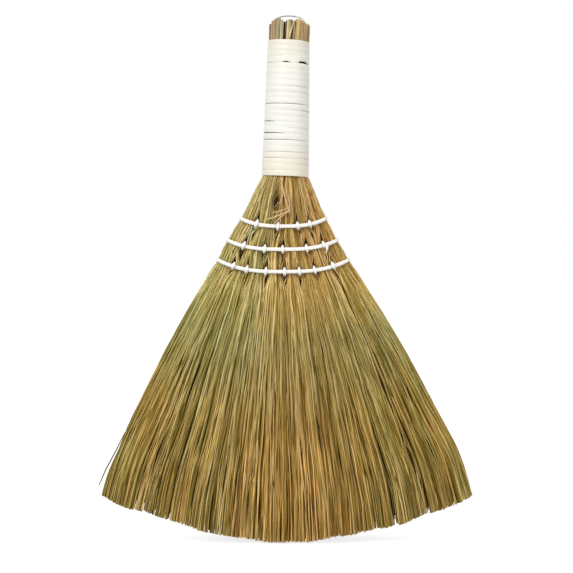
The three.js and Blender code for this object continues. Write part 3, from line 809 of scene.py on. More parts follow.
def make_straw_tree():
    tree, given = new_tree("straws_on_a_guide", {
        "Straws": "Int", "Seed": "Int", "Locks": "Int", "Straw Radius": "Float", "Lock Draw": "Float",
        "Lock Lean": "Float", "Waviness": "Float", "Spill Left": "Float", "Spill Right": "Float",
        "Trim": "Float", "Scallop": "Float", "Raggedness": "Float", "Finish": "Material",
    })
    line = put(tree, "GeometryNodeCurvePrimitiveLine")
    line = put(tree, "GeometryNodeResampleCurve", {"Curve": line, "Count": STRAW_POINTS})
    starts = put(tree, "GeometryNodePoints", {"Count": given["Straws"]})
    lines = put(tree, "GeometryNodeInstanceOnPoints", {"Points": starts, "Instance": line})
    lines = put(tree, "GeometryNodeRealizeInstances", {"Geometry": lines})

    ids = number_straws(tree, given)
    root, along = run_along(tree, given, ids)
    wave_side, wave_depth = wander(tree, ids, along)
    layer = pick_layer(tree, ids)
    across = lay_across(tree, given, ids, along, layer, wave_side)
    depth = lay_deep(tree, ids, root, along, layer, wave_depth)

    # The guide turns (across, along) into a place on the front, which the depth then moves back.
    sheet = put(tree, "GeometryNodeInputNamedAttribute", {"Name": "lay"}, data_type="FLOAT_VECTOR")
    spot = put(tree, "ShaderNodeCombineXYZ", {0: across, 1: along})
    here = put(tree, "GeometryNodeInputPosition")
    laid = put(tree, "GeometryNodeSampleUVSurface",
               {"Mesh": given["Geometry"], "Value": here, "UV Map": sheet, "Sample UV": spot},
               data_type="FLOAT_VECTOR")
    apart = put(tree, "ShaderNodeSeparateXYZ", {0: laid}).outputs
    y = put(tree, "ShaderNodeMath", {0: apart["Y"], 1: depth}, operation="MULTIPLY")
    place = put(tree, "ShaderNodeCombineXYZ", {0: apart["X"], 1: y, 2: apart["Z"]})
    lines = put(tree, "GeometryNodeSetPosition", {"Geometry": lines, "Position": place})

    own_tone = put(tree, "FunctionNodeRandomValue", {"ID": ids["straw"], "Seed": 6})
    lock_tone = put(tree, "FunctionNodeRandomValue", {"ID": ids["lock"], "Seed": 16})
    outer = put(tree, "ShaderNodeMath", {0: depth}, operation="ABSOLUTE")
    for label, value in zip(STRAW_VALUES, (own_tone, lock_tone, along, outer)):
        lines = put(tree, "GeometryNodeStoreNamedAttribute",
                    {"Geometry": lines, "Name": label, "Value": value})

    thickness = put(tree, "ShaderNodeMapRange", {0: along, 1: 0.05, 2: 0.25, 3: 0.85, 4: 1.0})
    stoutness = put(tree, "FunctionNodeRandomValue", {2: 0.7, 3: 1.3, "ID": ids["straw"], "Seed": 4})
    for share in (stoutness, given["Straw Radius"]):
        thickness = put(tree, "ShaderNodeMath", {0: thickness, 1: share}, operation="MULTIPLY")
    ring = put(tree, "GeometryNodeCurvePrimitiveCircle", {"Resolution": STRAW_SIDES, "Radius": 1.0})
    return end_tree(tree, sweep(tree, lines, ring, thickness), given["Finish"])


straw_tree = make_straw_tree()

# %% Lay the straws of the eight bunches
STRAWS_PER_MM = 15.0
STRAW_RADIUS = 0.38
LOCK_WIDTH = 4.5
LOCK_DRAW = 0.42
LOCK_LEAN = 4.0
WAVINESS = 16.0
SPILL = 0.13
SCALLOP = 5.4
RAGGEDNESS = 0.324
# How far above the floor each bunch is trimmed, where the fan's curve meets it.
BUNCH_TRIMS = (-1.4, 0.4, -0.4, 0.4, 0.4, 0.4, -1.0, -1.2)
BUNCHES_PER_SKIRT = 2

for number, guide in enumerate(guides):
    width = (BUNCH_EDGES[number + 1] - BUNCH_EDGES[number]) * SWEEP_HALF_WIDTH
    grow(guide, straw_tree, {
        "Straws": round(width * STRAWS_PER_MM), "Seed": number + 1, "Straw Radius": STRAW_RADIUS * MM,
        "Locks": max(2, round(width / LOCK_WIDTH)), "Lock Draw": LOCK_DRAW, "Lock Lean": LOCK_LEAN / width,
        "Waviness": WAVINESS / width, "Spill Left": SPILL if number > 0 else 0.0,
        "Spill Right": SPILL if number < len(guides) - 1 else 0.0,
        "Trim": (GUIDE_TOP_Z - BUNCH_TRIMS[number]) / STRAW_LENGTH, "Scallop": SCALLOP / STRAW_LENGTH,
        "Raggedness": RAGGEDNESS / STRAW_LENGTH, "Finish": broomcorn,
    })
    skirt = number // BUNCHES_PER_SKIRT + 1
    mount(guide, "broom", "broomcorn_fibre", f"stalk_bunch_{number + 1}", f"fibre_skirt_{skirt}")

# %% [markdown]
# ## The heart of the bunches
# The front straws hide a mass of others, which is dark because little light gets in. Ten times the straws
# would show that too, but nobody would see most of them. One closed body of cross-sections, a little inside
# the straws, stands for them and keeps daylight out of the small gaps.

# %% Heart of the fan
HEART_DEPTH = 0.5
HEART_WIDTH = 0.93
HEART_SIDES = 48
HEART_HEIGHTS = (262, 256, 250, 243, 236, 228, 220, 212, 204, 196, 189, 180, 165, 140, 110, 80, 50, 26,
                 12, 5)
# A straw's width and a bend's length. Real straws are thinner, which wouldn't show here.
HEART_GRAIN = (1.111, 1.111, 25)


def make_heart_finish():
    # Painted shade: broomcorn deep in the fan, coloured dark brown as it looks in the shade, and matt, so a
    # gap looks deep.
    material, tree, surface = new_finish("shaded_broomcorn")
    colour = put(tree, "ShaderNodeValToRGB", {0: grain(tree, HEART_GRAIN, detail=2.0)})
    set_ramp(colour, [(0.3, "1c1304"), (0.7, "4a350f")])
    fill(tree, surface, {"Base Color": colour, "Roughness": 0.8})
    return material


def make_heart():
    """A closed body of rings from the collar to just above the tips."""
    points = []
    for z in HEART_HEIGHTS:
        here = section_at(z)
        for step in range(HEART_SIDES):
            angle = 2 * math.pi * step / HEART_SIDES
            points.append(point_at(here, HEART_WIDTH * math.cos(angle), HEART_DEPTH * math.sin(angle)))
    faces = []
    for ring in range(len(HEART_HEIGHTS) - 1):
        for step in range(HEART_SIDES):
            here, beside = ring * HEART_SIDES + step, ring * HEART_SIDES + (step + 1) % HEART_SIDES
            faces.append((here, beside, beside + HEART_SIDES, here + HEART_SIDES))
    faces.append(tuple(range(HEART_SIDES)))
    faces.append(tuple(reversed(range(len(points) - HEART_SIDES, len(points)))))
    return make_object("fan_heart", points, faces=faces)


heart = make_heart()
heart.data.materials.append(make_heart_finish())
heart.data.shade_smooth()
mount(heart, "broom", "broomcorn_stalk")
print("heart:", len(heart.data.polygons), "faces")

# %% [markdown]
# ## The cane wrap
# The grip is bound with one strip of peeled cane, flat and about four millimetres wide, wound 23 times edge
# to edge. A stack of rings would be simpler, but the real strip falls to the right across the front, turn
# after turn. So a node tree bends a line into a helix and sweeps a rounded rectangle along it. Here and
# there a turn has slipped and leaves a dark slit, through which the stalks show.

# %% Cane
WRAP_TURNS = 23
WRAP_TOP_RADIUS = 14.5
WRAP_LOW_RADIUS = 16.5
STRIP_WIDTH = 4.2
STRIP_THICKNESS = 0.9
TURN_LENGTH = math.pi * (WRAP_TOP_RADIUS + WRAP_LOW_RADIUS)
# The fibres are finer than a pixel of the photograph, and show from close by.
FIBRE_LENGTH = 24.35
FIBRE_WIDTH = 0.233
SEAM_SHADE_LENGTH = 51.26


def make_cane():
    # Peeled cane: the split inside of the stem, nearly white, with fine fibres and a satin shine. The eye
    # tells the turns apart by painted shade, a grey at some of their edges where the turns meet.
    material, tree, surface = new_finish("peeled_cane")
    turn = put(tree, "ShaderNodeAttribute", attribute_name="turn").outputs["Fac"]
    across = put(tree, "ShaderNodeAttribute", attribute_name="across").outputs["Fac"]
    place = put(tree, "ShaderNodeMapRange", {0: turn, 1: 0.0, 2: WRAP_TURNS})
    aged = put(tree, "ShaderNodeValToRGB", {0: place})
    set_ramp(aged, [(0.0, "efe9d8"), (0.1, "f1ede0"), (0.2, "f4f2e8"), (0.75, "f4f3eb"), (0.85, "f3eede"),
                    (1.0, "f1ead6")])

    length = put(tree, "ShaderNodeMath", {0: turn, 1: TURN_LENGTH / FIBRE_LENGTH}, operation="MULTIPLY")
    width = put(tree, "ShaderNodeMath", {0: across, 1: STRIP_WIDTH / 2 / FIBRE_WIDTH}, operation="MULTIPLY")
    fibres = put(tree, "ShaderNodeCombineXYZ", {0: length, 1: width})
    fibres = put(tree, "ShaderNodeTexNoise", {"Vector": fibres, "Scale": 1.0, "Detail": 3.0},
                 noise_dimensions="2D")
    shade = put(tree, "ShaderNodeMapRange", {0: fibres, 1: 0.3, 2: 0.7, 3: 0.93, 4: 1.03})
    streaked = put(tree, "ShaderNodeMix", {0: 1.0, 6: aged, 7: shade}, **TINTED)

    # Painted shade in the seams between turns: the strip's edges are greyed, more in some stretches than
    # others.
    seam_shade = put(tree, "ShaderNodeTexNoise", {"W": turn, "Scale": TURN_LENGTH / SEAM_SHADE_LENGTH, "Detail": 1.0},
               noise_dimensions="1D")
    seam_shade = put(tree, "ShaderNodeMapRange", {0: seam_shade, 1: 0.35, 2: 0.65, 3: 0.15, 4: 0.95})
    edge = put(tree, "ShaderNodeMath", {0: across}, operation="ABSOLUTE")
    edge = put(tree, "ShaderNodeMapRange", {0: edge, 1: 0.92, 2: 1.0, 3: 0.0, 4: seam_shade})
    seam_shaded = put(tree, "ShaderNodeMix", {0: edge, 6: streaked, 7: linear("8d8674")}, data_type="RGBA")
    gloss = put(tree, "ShaderNodeMapRange", {0: fibres, 1: 0.3, 2: 0.7, 3: 0.3, 4: 0.45})
    fill(tree, surface, {"Base Color": seam_shaded, "Roughness": gloss})
    return material


cane = make_cane()

# %% Winding tree
STEPS_PER_TURN = 120
# Above 1, this lays the first turns a little closer together than the last.
FALL_POWER = 1.03
STRAY = 0.5
STRAYS_PER_TURN = 1.3
CORNER_SHARE = 0.3
CORNER_STEPS = 3
SLIP_HEIGHT = 1.5
# For each turn that slipped: the rise of the strip along the turn, whose front is from 0.25 to 0.75.
SLIPPED_TURNS = {
    3: [(0, 0), (0.45, 0), (0.465, 0.55), (0.5, 0.55), (0.525, 0), (0.57, 0), (0.585, 0.9), (0.65, 1),
        (0.7, 0), (1, 0)],
    13: [(0, 0), (0.22, 0), (0.27, 0.35), (0.38, 0.3), (0.43, 0), (1, 0)],
    15: [(0, 0), (0.2, 0), (0.24, 0.6), (0.45, 0.35), (0.52, 0), (1, 0)],
}


def wind_height(tree, given, factor, turn):
    """The strip's height: it falls evenly but for a hand's small strays and the turns that slipped."""
    fall = put(tree, "ShaderNodeMath", {0: factor, 1: FALL_POWER}, operation="POWER")
    z = put(tree, "ShaderNodeMapRange", {0: fall, 3: given["Top Z"], 4: given["Low Z"]})
    stray = put(tree, "ShaderNodeTexNoise", {"W": turn, "Scale": STRAYS_PER_TURN, "Detail": 1.0},
                noise_dimensions="1D")
    stray = put(tree, "ShaderNodeMapRange", {0: stray, 3: -STRAY * MM, 4: STRAY * MM})
    z = put(tree, "ShaderNodeMath", {0: z, 1: stray}, operation="ADD")
    for slipped, rises in SLIPPED_TURNS.items():
        place = put(tree, "ShaderNodeMapRange", {0: turn, 1: slipped, 2: slipped + 1.0})
        slip = put(tree, "ShaderNodeFloatCurve", {1: place})
        set_curve(slip, rises)
        z = put(tree, "ShaderNodeMath", {0: slip, 1: SLIP_HEIGHT * MM, 2: z}, operation="MULTIPLY_ADD")
    return z


def make_winding_tree():
    tree, given = new_tree("flat_strip_winding", {
        "Turns": "Float", "Top Z": "Float", "Low Z": "Float", "Top Radius": "Float", "Low Radius": "Float",
        "Lean": "Float", "Shift": "Float", "Strip Width": "Float", "Strip Thickness": "Float",
        "Finish": "Material",
    })
    steps = put(tree, "ShaderNodeMath", {0: given["Turns"], 1: STEPS_PER_TURN}, operation="MULTIPLY")
    line = put(tree, "GeometryNodeCurvePrimitiveLine")
    line = put(tree, "GeometryNodeResampleCurve", {"Curve": line, "Count": steps})
    factor = put(tree, "GeometryNodeSplineParameter").outputs["Factor"]
    turn = put(tree, "ShaderNodeMath", {0: factor, 1: given["Turns"]}, operation="MULTIPLY")
    angle = put(tree, "ShaderNodeMath", {0: turn, 1: 2 * math.pi, 2: math.pi / 2}, operation="MULTIPLY_ADD")
    radius = put(tree, "ShaderNodeMapRange", {0: factor, 3: given["Top Radius"], 4: given["Low Radius"]})
    z = wind_height(tree, given, factor, turn)
    rise = put(tree, "ShaderNodeMath", {0: z, 1: given["Low Z"]}, operation="SUBTRACT")
    lean = put(tree, "ShaderNodeMath", {0: rise, 1: given["Lean"], 2: given["Shift"]},
               operation="MULTIPLY_ADD")
    cosine = put(tree, "ShaderNodeMath", {0: angle}, operation="COSINE")
    sine = put(tree, "ShaderNodeMath", {0: angle}, operation="SINE")
    x = put(tree, "ShaderNodeMath", {0: cosine, 1: radius, 2: lean}, operation="MULTIPLY_ADD")
    y = put(tree, "ShaderNodeMath", {0: sine, 1: radius}, operation="MULTIPLY")
    place = put(tree, "ShaderNodeCombineXYZ", {0: x, 1: y, 2: z})
    helix = put(tree, "GeometryNodeSetPosition", {"Geometry": line, "Position": place})
    helix = put(tree, "GeometryNodeSetCurveNormal", {"Curve": helix}, mode="Z_UP")
    helix = put(tree, "GeometryNodeStoreNamedAttribute", {"Geometry": helix, "Name": "turn", "Value": turn})

    # The strip's cross-section, which carries -1 to 1 across its width.
    outline = put(tree, "GeometryNodeCurvePrimitiveQuadrilateral",
                  {"Width": given["Strip Thickness"], "Height": given["Strip Width"]})
    corner = put(tree, "ShaderNodeMath", {0: given["Strip Thickness"], 1: CORNER_SHARE},
                 operation="MULTIPLY")
    outline = put(tree, "GeometryNodeFilletCurve",
                  {"Curve": outline, "Count": CORNER_STEPS, "Radius": corner}, mode="POLY")
    here = put(tree, "GeometryNodeInputPosition")
    here = put(tree, "ShaderNodeSeparateXYZ", {0: here}).outputs
    half_width = put(tree, "ShaderNodeMath", {0: given["Strip Width"], 1: 0.5}, operation="MULTIPLY")
    across = put(tree, "ShaderNodeMath", {0: here["Y"], 1: half_width}, operation="DIVIDE")
    outline = put(tree, "GeometryNodeStoreNamedAttribute",
                  {"Geometry": outline, "Name": "across", "Value": across})
    return end_tree(tree, sweep(tree, helix, outline, 1.0), given["Finish"])


winding_tree = make_winding_tree()

# %% Wind the strip
STRIP_TOP_Z = 348.3
STRIP_LOW_Z = 255.1
GRIP_LEAN = 0.026
GRIP_SHIFT = 0.5

wrap = make_object("cane_winding", [(0, 0, 0)])
grow(wrap, winding_tree, {
    "Turns": float(WRAP_TURNS), "Top Z": STRIP_TOP_Z * MM, "Low Z": STRIP_LOW_Z * MM,
    "Top Radius": (WRAP_TOP_RADIUS - STRIP_THICKNESS / 2) * MM,
    "Low Radius": (WRAP_LOW_RADIUS - STRIP_THICKNESS / 2) * MM, "Lean": GRIP_LEAN, "Shift": GRIP_SHIFT * MM,
    "Strip Width": STRIP_WIDTH * MM, "Strip Thickness": STRIP_THICKNESS * MM, "Finish": cane,
})
mount(wrap, "broom", "cane_strip", "cane_wrap")

# %% [markdown]
# ## The cut stalk ends
# Above the wrap the stalks were sawn off. Each is a stem a few millimetres thick with a pale pith, brown,
# rosy, golden or grey-green as it dried. One ridged cylinder could stand for them all, but the eye sees
# each top against the white. So a node tree stands a stem on every point, with that point's size, lean and
# tone. The front ones are set in the order that the photograph shows. The rest fill the round grip behind
# them, and those in the middle are short, so that the wire loop has room to swing.

# %% Stalk finish
STALK_GRAIN = (1.333, 1.333, 16.67)


def make_stalk_finish():
    # Sawn broomcorn stalk: a dry, matt skin with long grain, and pale pith where the saw cut it. The grain
    # of a real stalk is finer, and is drawn this wide to show.
    material, tree, surface = new_finish("sawn_broomcorn_stalk")
    tone = put(tree, "ShaderNodeAttribute", attribute_name="tone").outputs["Fac"]
    cut = put(tree, "ShaderNodeAttribute", attribute_name="cut").outputs["Fac"]
    skin = put(tree, "ShaderNodeValToRGB", {0: tone})
    # The darkest end of the skin's ramp is painted shade, for the inner stalks that show only through gaps.
    set_ramp(skin, [(0.0, "1d1305"), (0.2, "c8a27a"), (0.4, "d6b97b"), (0.55, "e4d4a4"), (0.7, "a59a60"),
                    (0.85, "b2ab86"), (1.0, "b9b6a6")])
    lines = grain(tree, STALK_GRAIN, detail=4.0)
    shade = put(tree, "ShaderNodeMapRange", {0: lines, 1: 0.3, 2: 0.7, 3: 0.5, 4: 1.16})
    streaked = put(tree, "ShaderNodeMix", {0: 1.0, 6: skin, 7: shade}, **TINTED)
    ended = put(tree, "ShaderNodeMix", {0: cut, 6: streaked, 7: linear("c9b483")}, data_type="RGBA")
    fill(tree, surface, {"Base Color": ended, "Roughness": 0.6})
    return material


stalk_finish = make_stalk_finish()

# %% Stalk tree
STALK_SIDES = 12


def make_stalk_tree():
    tree, given = new_tree("stems_on_points", {"Foot Z": "Float", "Finish": "Material"})
    # A stem one unit high, whose top face is marked as cut.
    stem = put(tree, "GeometryNodeMeshCylinder",
               {"Vertices": STALK_SIDES, "Side Segments": 3, "Radius": 1.0, "Depth": 1.0})
    ended = put(tree, "GeometryNodeStoreNamedAttribute",
                {"Geometry": stem, "Name": "cut", "Value": stem.outputs["Top"]}, domain="FACE")
    stood = put(tree, "GeometryNodeTransform", {"Geometry": ended, "Translation": (0, 0, 0.5)})

    # Each point is moved down to the stem's foot, and keeps the height that it stood at.
    top = put(tree, "GeometryNodeInputPosition")
    top = put(tree, "ShaderNodeSeparateXYZ", {0: top})
    height = put(tree, "ShaderNodeMath", {0: top.outputs["Z"], 1: given["Foot Z"]}, operation="SUBTRACT")
    down = put(tree, "ShaderNodeMath", {0: height, 1: -1.0}, operation="MULTIPLY")
    down = put(tree, "ShaderNodeCombineXYZ", {2: down})
    feet = put(tree, "GeometryNodeStoreNamedAttribute",
               {"Geometry": given["Geometry"], "Name": "height", "Value": height})
    feet = put(tree, "GeometryNodeSetPosition", {"Geometry": feet, "Offset": down})

    radius = put(tree, "GeometryNodeInputNamedAttribute", {"Name": "radius_mm"}, data_type="FLOAT")
    radius = put(tree, "ShaderNodeMath", {0: radius, 1: MM}, operation="MULTIPLY")
    kept_height = put(tree, "GeometryNodeInputNamedAttribute", {"Name": "height"}, data_type="FLOAT")
    size = put(tree, "ShaderNodeCombineXYZ", {0: radius, 1: radius, 2: kept_height})
    lean = put(tree, "GeometryNodeInputNamedAttribute", {"Name": "lean"}, data_type="FLOAT")
    lean = put(tree, "ShaderNodeCombineXYZ", {1: lean})
    turned = put(tree, "FunctionNodeEulerToRotation", {0: lean})
    stems = put(tree, "GeometryNodeInstanceOnPoints",
                {"Points": feet, "Instance": stood, "Rotation": turned, "Scale": size})
    return end_tree(tree, stems, given["Finish"])


stalk_tree = make_stalk_tree()

# %% Front stalks
GRIP_TOP_X = GRIP_SHIFT + GRIP_LEAN * (WRAP_TOP_Z - COLLAR_Z)
BUNDLE_RADIUS = 12.4
FRONT_LEAN = 0.06
FRONT_SHIFT = 0.6

# Each front stalk: x from the middle of the grip, radius, top z, tone of its skin.
front_stalks = [
    (-12.8, 0.9, 361.2, 0.11), (-11.4, 1.0, 362.6, 0.2), (-9.9, 1.0, 363.2, 0.27), (-7.5, 1.6, 363.6, 0.84),
    (-5.4, 0.7, 362.6, 0.55), (-4.4, 0.6, 361.8, 0.62), (-0.8, 0.8, 362.4, 0.55), (0.8, 0.8, 361.6, 0.68),
    (3.4, 0.7, 361.9, 0.3), (6.1, 1.8, 362.8, 0.4), (8.6, 1.1, 362.2, 0.33), (10.3, 0.9, 361.4, 0.25),
    (11.7, 0.9, 360.9, 0.34), (12.9, 0.9, 360.4, 0.14), (13.9, 0.7, 360.0, 0.68),
]
tops = []
stalk_values = {"radius_mm": [], "lean": [], "tone": []}


def stand(x, y, top_z, radius, tone, lean):
    tops.append((GRIP_TOP_X + x, y, top_z))
    stalk_values["radius_mm"].append(radius)
    stalk_values["lean"].append(lean)
    stalk_values["tone"].append(tone)


for x, radius, top_z, tone in front_stalks:
    y = -math.sqrt(max(0, BUNDLE_RADIUS ** 2 - x * x))
    stand(x - FRONT_SHIFT, y, top_z, radius, tone, FRONT_LEAN)
# One thin stalk leans across the others.
stand(-1.8, -13.4, 362.2, radius=0.6, tone=0.52, lean=0.3)
print(len(tops), "front stalks")

# %% Stalks behind
STALK_FOOT_Z = 344
INNER_RINGS = ((10.2, 22), (7.6, 16), (4.8, 10), (2, 4))
BACK_STALKS = 18
BACK_TONES = [0.1, 0.2, 0.3, 0.36, 0.42, 0.5, 0.65]
SWING_HALF_WIDTH = 12
SWING_HALF_DEPTH = 5.8
SHORT_TOP_Z = 353
TALL_TOP_Z = 361

places = [(BUNDLE_RADIUS, math.pi * (step + 0.5) / BACK_STALKS) for step in range(BACK_STALKS)]
for ring_radius, count in INNER_RINGS:
    places += [(ring_radius, 2 * math.pi * step / count) for step in range(count)]

chance = random.Random(11)
for ring_radius, angle in places:
    x, y = ring_radius * math.cos(angle), ring_radius * math.sin(angle)
    in_swing = abs(y) < SWING_HALF_DEPTH and abs(x) < SWING_HALF_WIDTH
    top_z = SHORT_TOP_Z + chance.uniform(-1, 1) if in_swing else TALL_TOP_Z + chance.uniform(-1.2, 1.8)
    # The inner stalks at the front get the darkest tones, as painted shade, where only gaps between the
    # others show them.
    tone = chance.choice(BACK_TONES) if y > 0 else chance.uniform(0, 0.06)
    stand(x, y, top_z, chance.uniform(1.2, 1.6), tone, chance.uniform(-0.03, 0.03))

stalks = make_object("stalk_ends", tops, attributes=stalk_values)
grow(stalks, stalk_tree, {"Foot Z": STALK_FOOT_Z * MM, "Finish": stalk_finish})
mount(stalks, "broom", "broomcorn_stalk", *[f"stalk_bunch_{number + 1}" for number in range(len(guides))])

# %% [markdown]
# ## Sewing
# The stitching cord is flat, white and slightly glossy. Each row is a ring of cord round the fan, and short
# lashings cross it, dive through the fan between two bunches and come up on the other side. Bevelled curves
# could draw them, but a lashing is broad where it lies on the ring and thin where it is pulled into the
# straw. So both are paths with a thickness at each point, and one tree sweeps a flattened cord along them.

# %% Cord finish
CORD_FIBRE = (1.43, 1.43, 1.43)
CORD_TWIST = 2.1
TWIST_DEPTH = 0.12


def make_cord_finish():
    # Waxed white cord: bright, with a soft shine and a faint twist. Its fibres are drawn far coarser than
    # they are, to break the white a little.
    material, tree, surface = new_finish("white_waxed_cord")
    along = put(tree, "ShaderNodeAttribute", attribute_name="length").outputs["Fac"]
    fibres = grain(tree, CORD_FIBRE, detail=3.0)
    strand = put(tree, "ShaderNodeMath", {0: along, 1: 2 * math.pi / (CORD_TWIST * MM)},
                 operation="MULTIPLY")
    strand = put(tree, "ShaderNodeMath", {0: strand}, operation="SINE")
    height = put(tree, "ShaderNodeMath", {0: strand, 1: TWIST_DEPTH, 2: fibres}, operation="MULTIPLY_ADD")
    bump = put(tree, "ShaderNodeBump", {"Height": height, "Strength": 0.35, "Distance": 0.2 * MM})
    colour = put(tree, "ShaderNodeValToRGB", {0: fibres})
    set_ramp(colour, [(0.3, "f2f0e9"), (0.6, "fdfcf7")])
    fill(tree, surface, {"Base Color": colour, "Roughness": 0.4, "Normal": bump})
    return material


cord_finish = make_cord_finish()

# %% Cord tree
def make_cord_tree():
    tree, given = new_tree("cord_along_a_path", {
        "Radius": "Float", "Squash": "Float", "Sides": "Int", "Axis": "Vector", "Finish": "Material"})
    path = put(tree, "GeometryNodeMeshToCurve", {"Mesh": given["Geometry"]})
    # The cord lies flat: its thin side faces away from the axis that it goes round.
    tangent = put(tree, "GeometryNodeInputTangent")
    outwards = put(tree, "ShaderNodeVectorMath", {0: tangent, 1: given["Axis"]}, operation="CROSS_PRODUCT")
    outwards = put(tree, "ShaderNodeVectorMath", {0: outwards}, operation="NORMALIZE")
    path = put(tree, "GeometryNodeSetCurveNormal", {"Curve": path, "Normal": outwards}, mode="FREE")
    length = put(tree, "GeometryNodeSplineParameter").outputs["Length"]
    path = put(tree, "GeometryNodeStoreNamedAttribute",
               {"Geometry": path, "Name": "length", "Value": length})
    share = put(tree, "GeometryNodeInputNamedAttribute", {"Name": "thickness"}, data_type="FLOAT")
    thickness = put(tree, "ShaderNodeMath", {0: share, 1: given["Radius"]}, operation="MULTIPLY")
    ring = put(tree, "GeometryNodeCurvePrimitiveCircle", {"Resolution": given["Sides"], "Radius": 1.0})
    flat = put(tree, "ShaderNodeCombineXYZ", {0: given["Squash"], 1: 1.0, 2: 1.0})
    ring = put(tree, "GeometryNodeTransform", {"Geometry": ring, "Scale": flat})
    return end_tree(tree, sweep(tree, path, ring, thickness), given["Finish"])


def make_paths(name, paths, closed):
    """An object of one or more paths, each a list of (point, share of the full thickness)."""
    points, edges, shares = [], [], []
    for path in paths:
        first = len(points)
        for point, share in path:
            points.append(point)
            shares.append(share)
        edges += [(n, n + 1) for n in range(first, len(points) - 1)]
        if closed:
            edges.append((len(points) - 1, first))
    return make_object(name, points, edges=edges, attributes={"thickness": shares})


cord_tree = make_cord_tree()
AXIS_X, AXIS_Y, AXIS_Z = (1.0, 0.0, 0.0), (0.0, 1.0, 0.0), (0.0, 0.0, 1.0)

# %% Rings of cord
RING_STEPS = 96
RING_SQUARENESS = 4
RING_OFFSET = 0.9
RING_HALF_HEIGHT = 1.35
RING_SQUASH = 0.45
CORD_SIDES = 10


def signed_power(value, exponent):
    return math.copysign(abs(value) ** exponent, value)


for number, row in enumerate(rows, start=1):
    half_width = row["half_width"] + CORD_RADIUS
    half_depth = row["half_depth"] + RING_OFFSET
    path = []
    for step in range(RING_STEPS):
        angle = 2 * math.pi * step / RING_STEPS
        across = signed_power(math.cos(angle), 2 / RING_SQUARENESS)
        depth = signed_power(math.sin(angle), 2 / RING_SQUARENESS)
        point = (row["middle"] + half_width * across, half_depth * depth,
                 row["z"] + row["rise"] * abs(across) ** row["bow"])
        path.append((point, 1.0))
    ring = make_paths(f"cord_ring_{number}", [path], closed=True)
    grow(ring, cord_tree, {"Radius": RING_HALF_HEIGHT * MM, "Squash": RING_SQUASH, "Sides": CORD_SIDES,
                           "Axis": AXIS_Z, "Finish": cord_finish})
    mount(ring, "broom", "stitch_cord", f"stitch_band_{number}")

# %% Lashings
LASHING_STEPS = 32
LASHING_OFFSET = 1.9
LASHING_TUCK = 0.3
LASHING_RADIUS = 1.35
LASHING_SQUASH = 0.5
LASHING_THINNEST = 0.15
# Powers that shape a lashing: how pointed and how boxy its loop is, and how fast it thins.
LASHING_POINT, LASHING_BOX, LASHING_THINNING = 0.85, 0.5, 2.2
TILT_REACH = 5


def lashing_path(lashing, row):
    """A closed loop through the fan and over the ring, tilted as the straws there are."""
    above, below = section_at(row["z"] + TILT_REACH), section_at(row["z"] - TILT_REACH)
    across = middle_of(lashing)[0] / row["half_width"]
    spot = point_at(row, across, 0)
    tilt = (point_at(above, across, 0) - point_at(below, across, 0)).x / (2 * TILT_REACH)
    low_z, high_z = span_of(lashing, 2)
    half_height = (high_z - low_z) / 2 - LASHING_TUCK
    half_depth = row["half_depth"] + LASHING_OFFSET
    path = []
    for step in range(LASHING_STEPS):
        angle = 2 * math.pi * step / LASHING_STEPS
        up = half_height * signed_power(math.cos(angle), LASHING_POINT)
        point = (spot.x + tilt * up, half_depth * signed_power(math.sin(angle), LASHING_BOX), spot.z + up)
        broad = abs(math.sin(angle)) ** LASHING_THINNING
        path.append((point, LASHING_THINNEST + (1 - LASHING_THINNEST) * broad))
    return path


for number, row in enumerate(rows, start=1):
    paths = [lashing_path(lashing, row) for lashing in row["lashings"]]
    lashings = make_paths(f"cord_lashings_{number}", paths, closed=True)
    grow(lashings, cord_tree, {"Radius": LASHING_RADIUS * MM, "Squash": LASHING_SQUASH, "Sides": CORD_SIDES,
                               "Axis": AXIS_X, "Finish": cord_finish})
    mount(lashings, "broom", "stitch_cord", *row["lashings"])

# %% Cord tails
TAIL_RADIUS = 0.8
TAIL_SQUASH = 0.6
TAIL_SIDES = 8

tails = [
    [((-22.4, -12.8, 220.5), 0.35), ((-24.2, -12.6, 215), 0.12), ((-26, -12.5, 208), 0.08)],
    [((29.8, -12.4, 209), 1.3), ((29.5, -12.4, 205.5), 1.0), ((28.9, -11.9, 202), 0.15)],
]
cord_tails = make_paths("cord_tails", tails, closed=False)
grow(cord_tails, cord_tree, {"Radius": TAIL_RADIUS * MM, "Squash": TAIL_SQUASH, "Sides": TAIL_SIDES,
                             "Axis": AXIS_X, "Finish": cord_finish})
mount(cord_tails, "broom", "stitch_cord")

# %% [markdown]
# ## Stray straws
# A few straws have come loose: a bent one hangs from the collar and folds back across the neck with some
# shorter ones, a long dark one stands off the left edge, and thin ones roughen the sides. The straw tree
# can't leave its guide, so these are drawn as paths through a few points, with the cord's tree.

# %% Stray straws
STRAY_RADIUS = 0.5
STRAY_SIDES = 6
STRAY_END = 0.7

